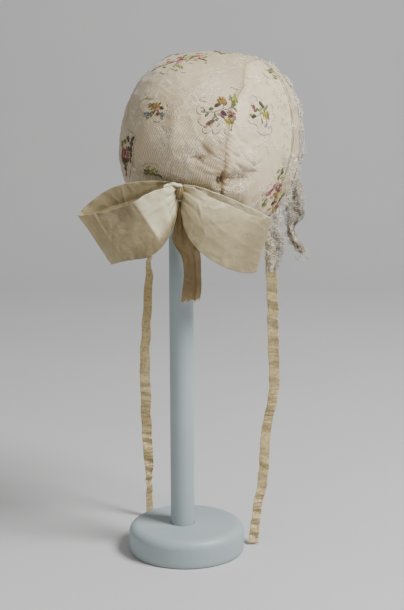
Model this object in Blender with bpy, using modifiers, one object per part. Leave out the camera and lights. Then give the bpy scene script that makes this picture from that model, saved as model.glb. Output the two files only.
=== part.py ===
"""Baby bonnet of figured silk with a ribbon bow, a lace edging and two ties, on a painted wooden stand.

Metres, +Z up. The origin is on the axis of the stand's post, on the plane that the stand rests on.
The bonnet's face opening looks along -Y, and its bow is at the back, on the +Y side.
"""

import math
from collections import namedtuple

import bmesh
import bpy
import numpy as np
from mathutils import Matrix, Vector

MM = 0.001
GAP = 0.3 * MM  # left between pieces that touch

# Stand: a turned foot with a blind socket, and a dowel with a rounded top that carries the bonnet
FOOT_RADIUS = 39 * MM
FOOT_THICKNESS = 18.7 * MM
FOOT_SHOULDER = 6 * MM  # radius of the rounded upper edge
FOOT_LOWER_ROUND = 1.5 * MM
FOOT_OFFSET = (-2.5 * MM, -0.9 * MM)  # the post stands a little off the foot's centre
POST_RADIUS = 8 * MM
SOCKET_DEPTH = 12 * MM
KNOB_RADIUS = 19 * MM
TURNED_STEPS = 32

# Cap: its lower front corners, and the cloth
CORNER_Y = -51 * MM
CORNER_Z = 224 * MM
CORNER_HALF_WIDTH = 43 * MM
CAP_MIDDLE = Vector((0, CORNER_Y / 2, CORNER_Z + 45 * MM))
CLOTH = 1.5 * MM
BAND_CLOTH = 2.2 * MM
BAND_WIDTH = 8.5 * MM
BAND_TURN = math.radians(42)  # the most that the band takes up of the turn about the corners
BAND_PROUD = 0.5 * MM  # how far the front band stands above the panels
CORNER_REACH = 0.93  # share of the way down to the corner where the cloth ends
CAP_YAW = math.radians(-7)  # the cap is turned this far on its stand
SEAM_GAP = 0.003  # half the space between two panels, as a share of the way to a corner
CROWN_GRID = (24, 22)  # columns across and rows from front to nape
RIGHT_GRID = (18, 20)
LEFT_GRID = (14, 16)
BAND_COLUMNS = 52

# Lace
LACE_WIDTH = 6 * MM
LACE_CLOTH = 1.0 * MM
LACE_WAVES = 20
LACE_WAVE_DEPTH = 1.1 * MM
LACE_FLARE = 6  # degrees outward
LACE_STEPS = 4  # points along each wave
LACE_REACH = 0.97  # share of the way to a corner where the lace ends
LACE_INSET = 0.3 * MM  # how far the lace's root lies in from the cap's outer face
LACE_CLEAR = GAP + 0.1 * MM  # and how far ahead of the band's edge

# Ribbons
RIBBON_CLOTH = 1.0 * MM
BOW_KNOT = (-10 * MM, 27.9 * MM, 253.6 * MM)
BOW_YAW = math.radians(20)  # the bow is turned this far towards the bonnet's right side
GATHER_SIZE = (3 * MM, 1.9 * MM, 3.2 * MM)  # half its width, depth and height
GATHER_PLACE = (0, -6, -2.6)  # across, up and off from the knot, in mm
RIBBON_COLUMNS = 4
LOOP_ROWS = 36
TAIL_ROWS = 18

# Sections of the cap by planes through the line that joins its two lower front corners.
# angle: the plane's slope above the horizontal, in degrees; reach: from that line to the section's
# top; half_width: at its widest place; seam: from the middle to the seam; waist: the height of the
# widest place as a share of the reach; square: exponent of the upper part, where 2 is an ellipse
Section = namedtuple("Section", "angle reach half_width seam waist square")
CAP_SECTIONS = [
    Section(15, 66.0, 39.0, 30.0, 0.45, 2.0),
    Section(19, 78.0, 40.5, 32.0, 0.45, 2.0),
    Section(24, 89.5, 42.0, 35.0, 0.44, 2.0),
    Section(32, 101.5, 44.5, 38.0, 0.43, 2.0),
    Section(42, 110.0, 47.0, 39.5, 0.42, 2.0),
    Section(56, 114.0, 49.5, 37.5, 0.42, 2.1),
    Section(72, 112.0, 53.0, 32.5, 0.42, 2.3),
    Section(86, 108.5, 57.0, 29.0, 0.41, 2.6),
    Section(95, 106.0, 59.0, 27.5, 0.41, 2.8),
]

SEAM_SHARE = 0.42  # where the seams run, as a share of the way from the middle to a corner
FRONT_ANGLE = CAP_SECTIONS[-1].angle
NAPE_ANGLE = CAP_SECTIONS[0].angle

# Folds in the cap's cloth: from one place to another, each an angle in degrees and a distance
# across in mm (minus is the bonnet's right side), with the fold's width and its depth inward in mm
Fold = namedtuple("Fold", "angle_from across_from angle_to across_to width depth")
CAP_FOLDS = [
    Fold(26.5, -35.0, 36.5, -45.2, 4.5, 3.2),  # under the overhang beside the gather
    Fold(36.5, -45.2, 46.0, -47.6, 4.5, 1.6),
    Fold(36.0, -41.0, 50.0, -48.0, 6.0, -1.8),  # the bulge above it
    Fold(23.0, -33.0, 27.5, -35.5, 3.5, 2.2),  # the gather at the lower end of the right seam
    Fold(31.0, -23.0, 31.5, -29.0, 4.0, 1.8),
    Fold(37.0, -27.0, 32.0, -32.5, 4.0, 1.4),
    Fold(47.0, -10.0, 34.0, -11.5, 4.0, -0.9),  # soft ridge down the crown
    Fold(46.0, -4.0, 30.0, -5.0, 5.0, 0.8),
    Fold(62.0, -14.0, 58.0, -33.0, 5.0, 0.8),
    Fold(24.0, 14.0, 34.0, 25.0, 5.0, 0.9),
    Fold(50.0, 22.0, 78.0, 14.0, 6.0, 0.7),
]
NAPE_PLEATS = 9  # gathers that run up from the nape edge
NAPE_PLEAT_DEPTH = 0.9 * MM
NAPE_PLEAT_FADE = 9.0  # degrees over which they fade out

# A stretch of ribbon: its two edges, each as across, up and off in mm from the bow's knot, where
# off is away from the bonnet, and how far the middle stands proud of the straight line between
Stretch = namedtuple("Stretch", "top bottom belly")
LEFT_LOOP = [
    Stretch((-1.5, 0, 3), (-1, -9, 3), 0),
    Stretch((-10, -1, 8), (-4, -24, 9), 3),
    Stretch((-20, -4, 12), (-11, -37, 12), 5),
    Stretch((-30, -10, 13), (-20, -44, 12), 4),
    Stretch((-41, -14, 10), (-28, -46, 9), 0),
    Stretch((-53, -16.5, 8.5), (-35, -47, 8), -1),
    Stretch((-62, -18.5, 5), (-41, -49, 6), 0),
    Stretch((-64, -18.5, 1), (-44, -50, 1), 0),
    Stretch((-60, -14, -2), (-41, -47, -4), 1),
    Stretch((-50, -6, -2), (-35, -42, -5), 1),
    Stretch((-39, -0.5, 0), (-28, -36, -5), 1),
    Stretch((-27, 2, 1), (-18, -28, -4), 1),
    Stretch((-13, 2.5, 2), (-8, -17, -1), 0),
    Stretch((-2.5, 1, 1), (-2, -9, -0.5), 0),
]
RIGHT_LOOP = [
    Stretch((1, 0, 3), (0.5, -12, 3), 0),
    Stretch((9, -2, 8), (1, -22, 8), 2),
    Stretch((20, -8, 10), (6, -34, 10), 3),
    Stretch((31, -13, 8), (16, -44.5, 10), 3),
    Stretch((43, -19, 4), (28, -52, 7), 2),
    Stretch((53, -23, -3), (41, -57, 0), 1),
    Stretch((58, -25, -9), (48, -57, -5), 0),
    Stretch((55, -21, -12), (45, -55, -9), 0.5),
    Stretch((47, -15, -10), (35, -47, -7), 1),
    Stretch((37, -10, -6), (25, -39, -5), 1),
    Stretch((24, -5.5, -1), (15, -29, -3), 1),
    Stretch((12, -1.5, 0.5), (6, -18, -1), 0),
    Stretch((2, 0, 1), (1.5, -11, -0.5), 0),
]
BOW_TAIL = [
    Stretch((-3, -10.5, 1), (2, -11.5, 1), 0),
    Stretch((-2, -29, 1), (8, -29, 1), 1),
    Stretch((-3, -39, 1), (11, -39, 1), 2),
    Stretch((1, -49, -1), (12, -49, -1), 2),
    Stretch((2, -59, -3), (13, -59, -3), 2),
    Stretch((1, -68, -4), (13, -68, -4), 1),
    Stretch((0, -77, -5), (12, -75, -5), 1),
]

# A tie's centreline from the cap down, in mm, its width, and its turn about the vertical
Place = namedtuple("Place", "x y z width turn")
RIGHT_TIE = [
    Place(-44.5, -41.9, 231, 6.0, 83),
    Place(-44.4, -42.1, 223, 6.0, 83),
    Place(-46.5, -46.5, 204, 6.8, 40),
    Place(-46.5, -52, 178, 7.4, 24),
    Place(-47.5, -52, 152, 7.4, 16),
    Place(-48.5, -51, 129, 7.4, 22),
    Place(-49.5, -49.5, 108, 7.2, 30),
    Place(-48.5, -46, 92, 6.6, 12),
    Place(-46, -42, 74, 6.6, 26),
    Place(-46.5, -36, 52, 6.6, 14),
    Place(-45.5, -31.5, 34, 6.6, 28),
    Place(-44, -26.5, 20, 6.2, 20),
    Place(-44, -21.5, 1.2, 7.0, 24),
]
LEFT_TIE = [
    Place(34.0, -51.5, 231, 6.0, 83),
    Place(33.7, -51.5, 223, 6.0, 83),
    Place(37.0, -51.4, 206, 6.6, 80),
    Place(42.5, -50.5, 186, 5.0, 62),
    Place(42.5, -51, 172, 7.2, 22),
    Place(45, -50, 138, 7.2, 12),
    Place(45.5, -49.5, 105, 7.2, 26),
    Place(45.5, -49.5, 79, 7.2, 14),
    Place(44.5, -50, 58, 7.0, 30),
    Place(44, -50, 42, 6.6, 20),
    Place(43.5, -50, 28, 5.0, 56),
    Place(43.5, -50, 3, 5.0, 40),
]
# The torn lengths of the lace, which hang from the right side of the face opening
LACE_FALL = [
    Place(-66, -53, 256, 7.0, 60),
    Place(-64, -55, 246, 9.5, 50),
    Place(-62, -57, 234, 10.5, 35),
    Place(-61, -57, 224, 10.0, 20),
    Place(-60, -57, 217, 6.0, 10),
    Place(-62.5, -57, 208, 7.0, 5),
    Place(-66, -57, 201, 8.5, 0),
    Place(-68, -57, 195, 6.0, 0),
]
LACE_END = [
    Place(-53.0, -42.6, 230, 5.0, 78),
    Place(-50.8, -40.5, 222, 7.0, 40),
    Place(-49.2, -39.5, 213, 10.0, 20),
    Place(-48.8, -39.5, 205, 11.5, 20),
    Place(-48.2, -40.0, 196, 9.5, 20),
    Place(-47.2, -41.0, 188, 5.0, 15),
]

COLOURS = {
    "silk": ((0.72, 0.66, 0.56), 0.55),
    "binding": ((0.70, 0.63, 0.50), 0.5),
    "lace": ((0.66, 0.60, 0.50), 0.8),
    "ribbon": ((0.62, 0.54, 0.38), 0.4),
    "paint": ((0.42, 0.50, 0.50), 0.45),
}


def clear_scene():
    for old in list(bpy.data.objects):
        bpy.data.objects.remove(old)


def make_material(name):
    colour, roughness = COLOURS[name]
    material = bpy.data.materials.new(name)
    material.use_nodes = True
    shader = material.node_tree.nodes["Principled BSDF"]
    shader.inputs["Base Color"].default_value = (*colour, 1)
    shader.inputs["Roughness"].default_value = roughness
    shader.inputs["Metallic"].default_value = 0
    return material


def smooth(at, places, values):
    """A curve through the values at those rising places, with no corners (cubic Hermite)."""
    places = np.asarray(places, float)
    values = np.asarray(values, float)
    slopes = np.gradient(values, places, axis=0)
    i = int(np.clip(np.searchsorted(places, at) - 1, 0, len(places) - 2))
    span = places[i + 1] - places[i]
    t = (at - places[i]) / span
    start, end = values[i], values[i + 1]
    rise = t * t * (3 - 2 * t)
    ease_out = t * (1 - t) ** 2 * span
    ease_in = t * t * (t - 1) * span
    return start + (end - start) * rise + slopes[i] * ease_out + slopes[i + 1] * ease_in


def cap_section(angle):
    """The section at that angle, with its lengths in metres."""
    rows = np.array(CAP_SECTIONS)
    values = smooth(angle, rows[:, 0], rows[:, 1:])
    return Section(angle, *(values[:3] * MM), *values[3:])


def seam_turn(section, across):
    """How far round the section's upper part a distance to the side lies, a right angle in all."""
    return math.asin((across / section.half_width) ** (section.square / 2))


def bare_cap_point(angle, across_share):
    """A place on the cap's outer face with no folds. across_share runs from -1 at the right corner
    through the seams at -SEAM_SHARE and SEAM_SHARE to 1 at the left corner."""
    section = cap_section(angle)
    waist = section.waist * section.reach
    share = abs(across_share)
    if share <= SEAM_SHARE:
        turn = seam_turn(section, section.seam * share / SEAM_SHARE)
    else:
        at_seam = seam_turn(section, section.seam)
        beyond = (share - SEAM_SHARE) / (1 - SEAM_SHARE)
        turn = at_seam + beyond * (math.pi / 2 - at_seam + CORNER_REACH)
    drop = turn - math.pi / 2
    if drop <= 0:
        across = section.half_width * math.sin(turn) ** (2 / section.square)
        out = waist + (section.reach - waist) * math.cos(turn) ** (2 / section.square)
    else:
        narrowing = section.half_width - CORNER_HALF_WIDTH
        across = CORNER_HALF_WIDTH + narrowing * math.cos(drop * math.pi / 2)
        out = waist * (1 - drop)
    slope = math.radians(angle)
    y = CORNER_Y + out * math.cos(slope)
    z = CORNER_Z + out * math.sin(slope)
    return np.array([math.copysign(across, across_share), y, z])


def outward(angle, across_share):
    """The cap's outward direction at a place."""
    step_angle, step_share = 0.1, 0.01
    ahead = bare_cap_point(angle + step_angle, across_share)
    behind = bare_cap_point(angle - step_angle, across_share)
    along = ahead - behind
    left = bare_cap_point(angle, across_share + step_share)
    right = bare_cap_point(angle, across_share - step_share)
    sideways = left - right
    direction = np.cross(sideways, along)
    direction /= np.linalg.norm(direction)
    inward = np.dot(direction, bare_cap_point(angle, across_share) - np.array(CAP_MIDDLE)) < 0
    return -direction if inward else direction


def fold_ends(fold):
    """The two ends of a fold as points on the bare cap."""
    ends = []
    for angle, across in ((fold.angle_from, fold.across_from), (fold.angle_to, fold.across_to)):
        ends.append(bare_cap_point(angle, share_at(angle, across * MM)))
    return ends


def share_at(angle, across):
    """The across_share of the place at that distance to the side, on the section's upper part."""
    section = cap_section(angle)
    distance = min(abs(across), section.half_width)
    if distance <= section.seam:
        share = SEAM_SHARE * distance / section.seam
    else:
        at_seam = seam_turn(section, section.seam)
        length = math.pi / 2 - at_seam + CORNER_REACH
        beyond = (seam_turn(section, distance) - at_seam) / length
        share = SEAM_SHARE + (1 - SEAM_SHARE) * beyond
    return math.copysign(share, across)


def fold_depth(point, ends):
    """How far the folds press the cloth in at a point of the bare cap."""
    depth = 0.0
    for fold, (start, end) in zip(CAP_FOLDS, ends):
        run = end - start
        share = np.clip(np.dot(point - start, run) / np.dot(run, run), 0, 1)
        away = np.linalg.norm(point - start - share * run)
        fading = 0.35 + 0.65 * math.sin(math.pi * share)
        depth += fold.depth * MM * fading * math.exp(-((away / (fold.width * MM)) ** 2))
    return depth


def nape_pleats(angle, across_share):
    """The gathers at the nape edge, which fade out up the crown."""
    fade = max(0.0, 1 - (angle - NAPE_ANGLE) / NAPE_PLEAT_FADE)
    sideways = max(0.0, 1 - abs(across_share) ** 2)
    return NAPE_PLEAT_DEPTH * fade * sideways * math.cos(math.pi * NAPE_PLEATS * across_share)


def cap_point(angle, across_share, ends, lift=0.0):
    """A place on the cap's outer face with its folds, raised by lift."""
    point = bare_cap_point(angle, across_share)
    raised = lift - fold_depth(point, ends) + nape_pleats(angle, across_share)
    return point + raised * outward(angle, across_share)


def band_rear(across_share, gap=0.0):
    """The angle of the front band's rear edge, and of a place a gap behind it. Towards the corners
    the band narrows to a point, as the cap does."""
    edge = bare_cap_point(FRONT_ANGLE, across_share)
    reach = math.hypot(edge[1] - CORNER_Y, edge[2] - CORNER_Z)
    turn = min(BAND_WIDTH / reach, BAND_TURN) + gap / reach
    return FRONT_ANGLE - math.degrees(turn)


def finish_object(name, mesh, material, thickness=None, offset=-1.0):
    """Links the mesh as a named object, and thickens an open surface."""
    obj = bpy.data.objects.new(name, mesh)
    bpy.data.collections["bonnet"].objects.link(obj)
    mesh.materials.append(material)
    if thickness:
        wall = obj.modifiers.new("cloth", "SOLIDIFY")
        wall.thickness = thickness
        wall.offset = offset
    mesh.shade_smooth()
    mesh.set_sharp_from_angle(angle=math.radians(50))
    return obj


def move_to_collection(obj, name):
    for other in obj.users_collection:
        other.objects.unlink(obj)
    bpy.data.collections[name].objects.link(obj)


def surface(rows):
    """A mesh through a grid of points, a list of equally long rows."""
    points = [tuple(p) for row in rows for p in row]
    wide = len(rows[0])
    faces = []
    for i in range(len(rows) - 1):
        for j in range(wide - 1):
            corner = i * wide + j
            faces.append((corner, corner + 1, corner + wide + 1, corner + wide))
    mesh = bpy.data.meshes.new("surface")
    mesh.from_pydata(points, [], faces)
    return mesh


def facing_out(mesh):
    """Turns the surface so that its faces look away from the middle of the cap."""
    shaped = bmesh.new()
    shaped.from_mesh(mesh)
    away = sum((f.calc_center_median() - CAP_MIDDLE).dot(f.normal) * f.calc_area() for f in shaped.faces)
    if away < 0:
        bmesh.ops.reverse_faces(shaped, faces=shaped.faces)
    shaped.to_mesh(mesh)
    shaped.free()
    return mesh


def cap_panel(name, from_share, to_share, columns, rows, ends, material):
    """One panel of the cap, from the front band to the nape edge."""
    grid = []
    for i in range(columns + 1):
        share = from_share + (to_share - from_share) * i / columns
        first = band_rear(share, 2 * GAP)
        line = []
        for k in range(rows + 1):
            angle = first + (NAPE_ANGLE - first) * k / rows
            line.append(cap_point(angle, share, ends))
        grid.append(line)
    panel = finish_object(name, facing_out(surface(grid)), material, CLOTH)
    panel.rotation_euler.z = CAP_YAW


def cap_panels(ends, material):
    """The centre strip and the two side panels, a hair's breadth apart at the seams."""
    inner, outer = SEAM_SHARE - SEAM_GAP, SEAM_SHARE + SEAM_GAP
    cap_panel("crown", -inner, inner, *CROWN_GRID, ends, material)
    cap_panel("side_right", -1, -outer, *RIGHT_GRID, ends, material)
    cap_panel("side_left", outer, 1, *LEFT_GRID, ends, material)


def front_band(ends, material):
    """The turned-back band round the face opening."""
    grid = []
    for i in range(BAND_COLUMNS + 1):
        share = -1 + 2 * i / BAND_COLUMNS
        behind = band_rear(share)
        angles = (FRONT_ANGLE, (FRONT_ANGLE + behind) / 2, behind)
        grid.append([cap_point(angle, share, ends, BAND_PROUD) for angle in angles])
    band = finish_object("front_band", facing_out(surface(grid)), material, BAND_CLOTH)
    band.rotation_euler.z = CAP_YAW


def lace_frill(material):
    """The gathered lace that stands forward from the front band's edge."""
    steps = LACE_WAVES * LACE_STEPS
    flare = math.radians(LACE_FLARE)
    grid = []
    for i in range(steps + 1):
        share = (-1 + 2 * i / steps) * LACE_REACH
        edge = bare_cap_point(FRONT_ANGLE, share)
        out = outward(FRONT_ANGLE, share)
        ahead = edge - bare_cap_point(FRONT_ANGLE - 2, share)
        ahead /= np.linalg.norm(ahead)
        ahead = ahead * math.cos(flare) + out * math.sin(flare)
        root = edge - out * LACE_INSET + ahead * LACE_CLEAR
        wave = LACE_WAVE_DEPTH * math.sin(2 * math.pi * i / LACE_STEPS)
        middle = root + ahead * LACE_WIDTH / 2 + out * wave * 0.5
        tip = root + ahead * LACE_WIDTH + out * wave
        grid.append([root, middle, tip])
    frill = finish_object("lace_frill", facing_out(surface(grid)), material, LACE_CLOTH, 0.0)
    frill.rotation_euler.z = CAP_YAW


def from_knot(place):
    """A place given as across, up and off from the bow's knot in mm, in the bonnet's own axes."""
    across, up, off = (value * MM for value in place)
    x = -across * math.cos(BOW_YAW) - off * math.sin(BOW_YAW)
    y = -across * math.sin(BOW_YAW) + off * math.cos(BOW_YAW)
    return np.array([x, y, up]) + np.array(BOW_KNOT)


def bow_ribbon(name, stretches, steps, material):
    """A ribbon through its stretches, with a belly between its edges."""
    places = range(len(stretches))
    tops = np.array([from_knot(s.top) for s in stretches])
    bottoms = np.array([from_knot(s.bottom) for s in stretches])
    bellies = np.array([s.belly for s in stretches]) * MM
    last = len(stretches) - 1
    nearby = 0.05  # how far to either side the ribbon's direction is taken
    grid = []
    for i in range(steps + 1):
        at = last * i / steps
        top = smooth(at, places, tops)
        bottom = smooth(at, places, bottoms)
        belly = smooth(at, places, bellies)
        before = smooth(max(at - nearby, 0), places, (tops + bottoms) / 2)
        after = smooth(min(at + nearby, last), places, (tops + bottoms) / 2)
        proud = np.cross(bottom - top, after - before)
        proud /= np.linalg.norm(proud)
        line = []
        for k in range(RIBBON_COLUMNS + 1):
            share = k / RIBBON_COLUMNS
            line.append(top + (bottom - top) * share + proud * belly * math.sin(math.pi * share))
        grid.append(line)
    return finish_object(name, surface(grid), material, RIBBON_CLOTH, 0.0)


def bow_gather(material):
    """The small stitched gather behind the loops, where they and the tail are sewn to the nape."""
    bpy.ops.mesh.primitive_uv_sphere_add(segments=14, ring_count=8, radius=1)
    gather = bpy.context.object
    gather.name = "bow_gather"
    gather.data.transform(Matrix.Diagonal((*GATHER_SIZE, 1)))
    gather.location = from_knot(GATHER_PLACE)
    gather.rotation_euler.z = math.pi + BOW_YAW
    move_to_collection(gather, "bonnet")
    gather.data.materials.append(material)
    gather.data.shade_smooth()


def hanging_strip(name, places, steps, thickness, material):
    """A narrow strip of ribbon or lace that hangs along its centreline."""
    table = np.array(places)
    table[:, :4] *= MM
    numbers = range(len(places))
    grid = []
    for i in range(steps + 1):
        at = (len(places) - 1) * i / steps
        x, y, z, width, turn = smooth(at, numbers, table)
        turn = math.radians(turn)
        half = np.array([math.cos(turn), math.sin(turn), 0]) * width / 2
        centre = np.array([x, y, z])
        grid.append([centre - half, centre, centre + half])
    return finish_object(name, surface(grid), material, thickness, 0.0)


def turned(name, profile, material, centre=(0, 0)):
    """A turned solid from a profile of radius and height pairs that runs from top to bottom."""
    mesh = bpy.data.meshes.new(name)
    points = [(radius, 0, height) for radius, height in profile]
    mesh.from_pydata(points, [(i, i + 1) for i in range(len(points) - 1)], [])
    obj = finish_object(name, mesh, material)
    obj.location = (*centre, 0)
    screw = obj.modifiers.new("turn", "SCREW")
    screw.steps = screw.render_steps = TURNED_STEPS
    screw.use_merge_vertices = True
    screw.merge_threshold = 0.00001
    return obj


def arc(centre, radius, start, end, steps):
    """Points on an arc, as radius and height pairs, with its angles in degrees."""
    points = []
    for i in range(steps + 1):
        angle = math.radians(start + (end - start) * i / steps)
        points.append((centre[0] + radius * math.cos(angle), centre[1] + radius * math.sin(angle)))
    return points


def knob_height(ends):
    """The height of the knob's centre at which its top just clears the inside of the cap."""
    clear = KNOB_RADIUS + CLOTH + GAP
    lowest = CORNER_Z + 60 * MM  # only the cap's upper part lies over the knob
    heights = []
    for share in np.linspace(-SEAM_SHARE, SEAM_SHARE, 41):
        for angle in np.linspace(NAPE_ANGLE, FRONT_ANGLE, 61):
            x, y, z = cap_point(angle, share, ends)
            if x * x + y * y < clear * clear and z > lowest:
                heights.append(z - math.sqrt(clear * clear - x * x - y * y))
    return min(heights)


def stand(ends, material):
    """The turned foot, drilled for the post, and the post with its rounded top."""
    shoulder = (FOOT_RADIUS - FOOT_SHOULDER, FOOT_THICKNESS - FOOT_SHOULDER)
    heel = (FOOT_RADIUS - FOOT_LOWER_ROUND, FOOT_LOWER_ROUND)
    foot = [(0, FOOT_THICKNESS), *arc(shoulder, FOOT_SHOULDER, 90, 0, 6)]
    foot += [*arc(heel, FOOT_LOWER_ROUND, 0, -90, 3), (0, 0)]
    foot_obj = turned("stand_foot", foot, material, FOOT_OFFSET)
    bpy.ops.mesh.primitive_cylinder_add(
        vertices=24,
        radius=POST_RADIUS + GAP,
        depth=2 * SOCKET_DEPTH,
        location=(0, 0, FOOT_THICKNESS),
    )
    drill = bpy.context.object
    drill.name = "socket_cutter"
    move_to_collection(drill, "cutters")
    drill.hide_render = True
    drill.display_type = "WIRE"
    socket = foot_obj.modifiers.new("socket", "BOOLEAN")
    socket.object = drill
    socket.operation = "DIFFERENCE"

    top = knob_height(ends)
    neck_angle = math.degrees(math.asin(POST_RADIUS / KNOB_RADIUS)) - 90
    post = arc((0, top), KNOB_RADIUS, 90, neck_angle, 10)
    post += [(POST_RADIUS, FOOT_THICKNESS - SOCKET_DEPTH + GAP), (0, FOOT_THICKNESS - SOCKET_DEPTH + GAP)]
    turned("stand_post", post, material)


def build():
    clear_scene()
    for name in ("bonnet", "cutters"):
        bpy.context.scene.collection.children.link(bpy.data.collections.new(name))
    materials = {name: make_material(name) for name in COLOURS}
    ends = [fold_ends(fold) for fold in CAP_FOLDS]
    cap_panels(ends, materials["silk"])
    front_band(ends, materials["binding"])
    lace_frill(materials["lace"])
    hanging_strip("lace_fall", LACE_FALL, 18, LACE_CLOTH, materials["lace"])
    hanging_strip("lace_end", LACE_END, 12, LACE_CLOTH, materials["lace"])
    bow_ribbon("bow_loop_left", LEFT_LOOP, LOOP_ROWS, materials["ribbon"])
    bow_ribbon("bow_loop_right", RIGHT_LOOP, LOOP_ROWS, materials["ribbon"])
    bow_ribbon("bow_tail", BOW_TAIL, TAIL_ROWS, materials["ribbon"])
    bow_gather(materials["ribbon"])
    hanging_strip("tie_right", RIGHT_TIE, 36, RIBBON_CLOTH, materials["ribbon"])
    hanging_strip("tie_left", LEFT_TIE, 34, RIBBON_CLOTH, materials["ribbon"])
    stand(ends, materials["paint"])


build()
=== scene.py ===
"""The looks of a silk baby bonnet on its painted stand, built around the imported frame.

Metres, +Z up. The cap is drawn by the same sections as the part's source, with finer cloth.
"""
import math
from collections import namedtuple

import bpy
import numpy as np
from mathutils import Matrix, Vector


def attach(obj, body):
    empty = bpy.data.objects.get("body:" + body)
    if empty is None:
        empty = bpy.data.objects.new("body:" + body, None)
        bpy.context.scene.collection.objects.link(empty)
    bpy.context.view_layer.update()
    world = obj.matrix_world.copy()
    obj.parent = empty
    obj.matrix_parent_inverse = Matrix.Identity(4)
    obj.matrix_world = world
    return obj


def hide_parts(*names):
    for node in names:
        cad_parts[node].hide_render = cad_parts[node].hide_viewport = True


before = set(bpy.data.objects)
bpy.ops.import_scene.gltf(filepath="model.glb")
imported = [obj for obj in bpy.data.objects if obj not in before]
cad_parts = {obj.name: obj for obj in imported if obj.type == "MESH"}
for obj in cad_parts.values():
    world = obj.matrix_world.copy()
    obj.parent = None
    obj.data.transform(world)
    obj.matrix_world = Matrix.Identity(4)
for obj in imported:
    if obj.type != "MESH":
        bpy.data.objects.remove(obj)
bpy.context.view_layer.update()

MM = 0.001
random = np.random.default_rng(11)

# The photograph's view
CAMERA_AZIMUTH = math.radians(200)
CAMERA_REACH = 0.965
CAMERA_HEIGHT = 0.380
CAMERA_PITCH = math.radians(12.3)
CAMERA_YAW = math.atan(20.6 / 1500)
CAMERA_ROLL = math.radians(-0.34)
CAMERA_LENS = 1500 / 610 * 36

# The cap's sections, as in the part's source
CORNER_Y = -51 * MM
CORNER_Z = 224 * MM
CORNER_HALF_WIDTH = 43 * MM
CAP_MIDDLE = np.array([0, CORNER_Y / 2, CORNER_Z + 45 * MM])
CORNER_REACH = 0.93
CAP_YAW = math.radians(-7)
SEAM_SHARE = 0.42
FRONT_ANGLE = 95
NAPE_ANGLE = 15
SHARE_MM = 85  # cloth across the cap for a share of 1
BAND_WIDTH = 8.5 * MM
BAND_TURN = math.radians(42)
SECTION_ANGLES = np.array([15, 19, 24, 32, 42, 56, 72, 86, 95], float)
SECTIONS = np.array(
    [
        (66.0, 39.0, 30.0, 0.45, 2.0), (78.0, 40.5, 32.0, 0.45, 2.0), (89.5, 42.0, 35.0, 0.44, 2.0),
        (101.5, 44.5, 38.0, 0.43, 2.0), (110.0, 47.0, 39.5, 0.42, 2.0), (114.0, 49.5, 37.5, 0.42, 2.1),
        (112.0, 53.0, 32.5, 0.42, 2.3), (108.5, 57.0, 29.0, 0.41, 2.6), (106.0, 59.0, 27.5, 0.41, 2.8),
    ]
)
SECTIONS[:, :3] *= MM

# Folds: from one angle and distance across in mm to another, width and depth inward in mm
CAP_FOLDS = [
    (26.5, -35.0, 36.5, -45.2, 4.5, 3.2), (36.5, -45.2, 46.0, -47.6, 4.5, 1.6),
    (36.0, -41.0, 50.0, -48.0, 6.0, -1.8), (23.0, -33.0, 27.5, -35.5, 3.5, 2.2),
    (31.0, -23.0, 31.5, -29.0, 4.0, 1.8), (37.0, -27.0, 32.0, -32.5, 4.0, 1.4),
    (47.0, -10.0, 34.0, -11.5, 4.0, -0.9), (46.0, -4.0, 30.0, -5.0, 5.0, 0.8),
    (62.0, -14.0, 58.0, -33.0, 5.0, 0.8), (24.0, 14.0, 34.0, 25.0, 5.0, 0.9),
    (50.0, 22.0, 78.0, 14.0, 6.0, 0.7),
]
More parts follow.
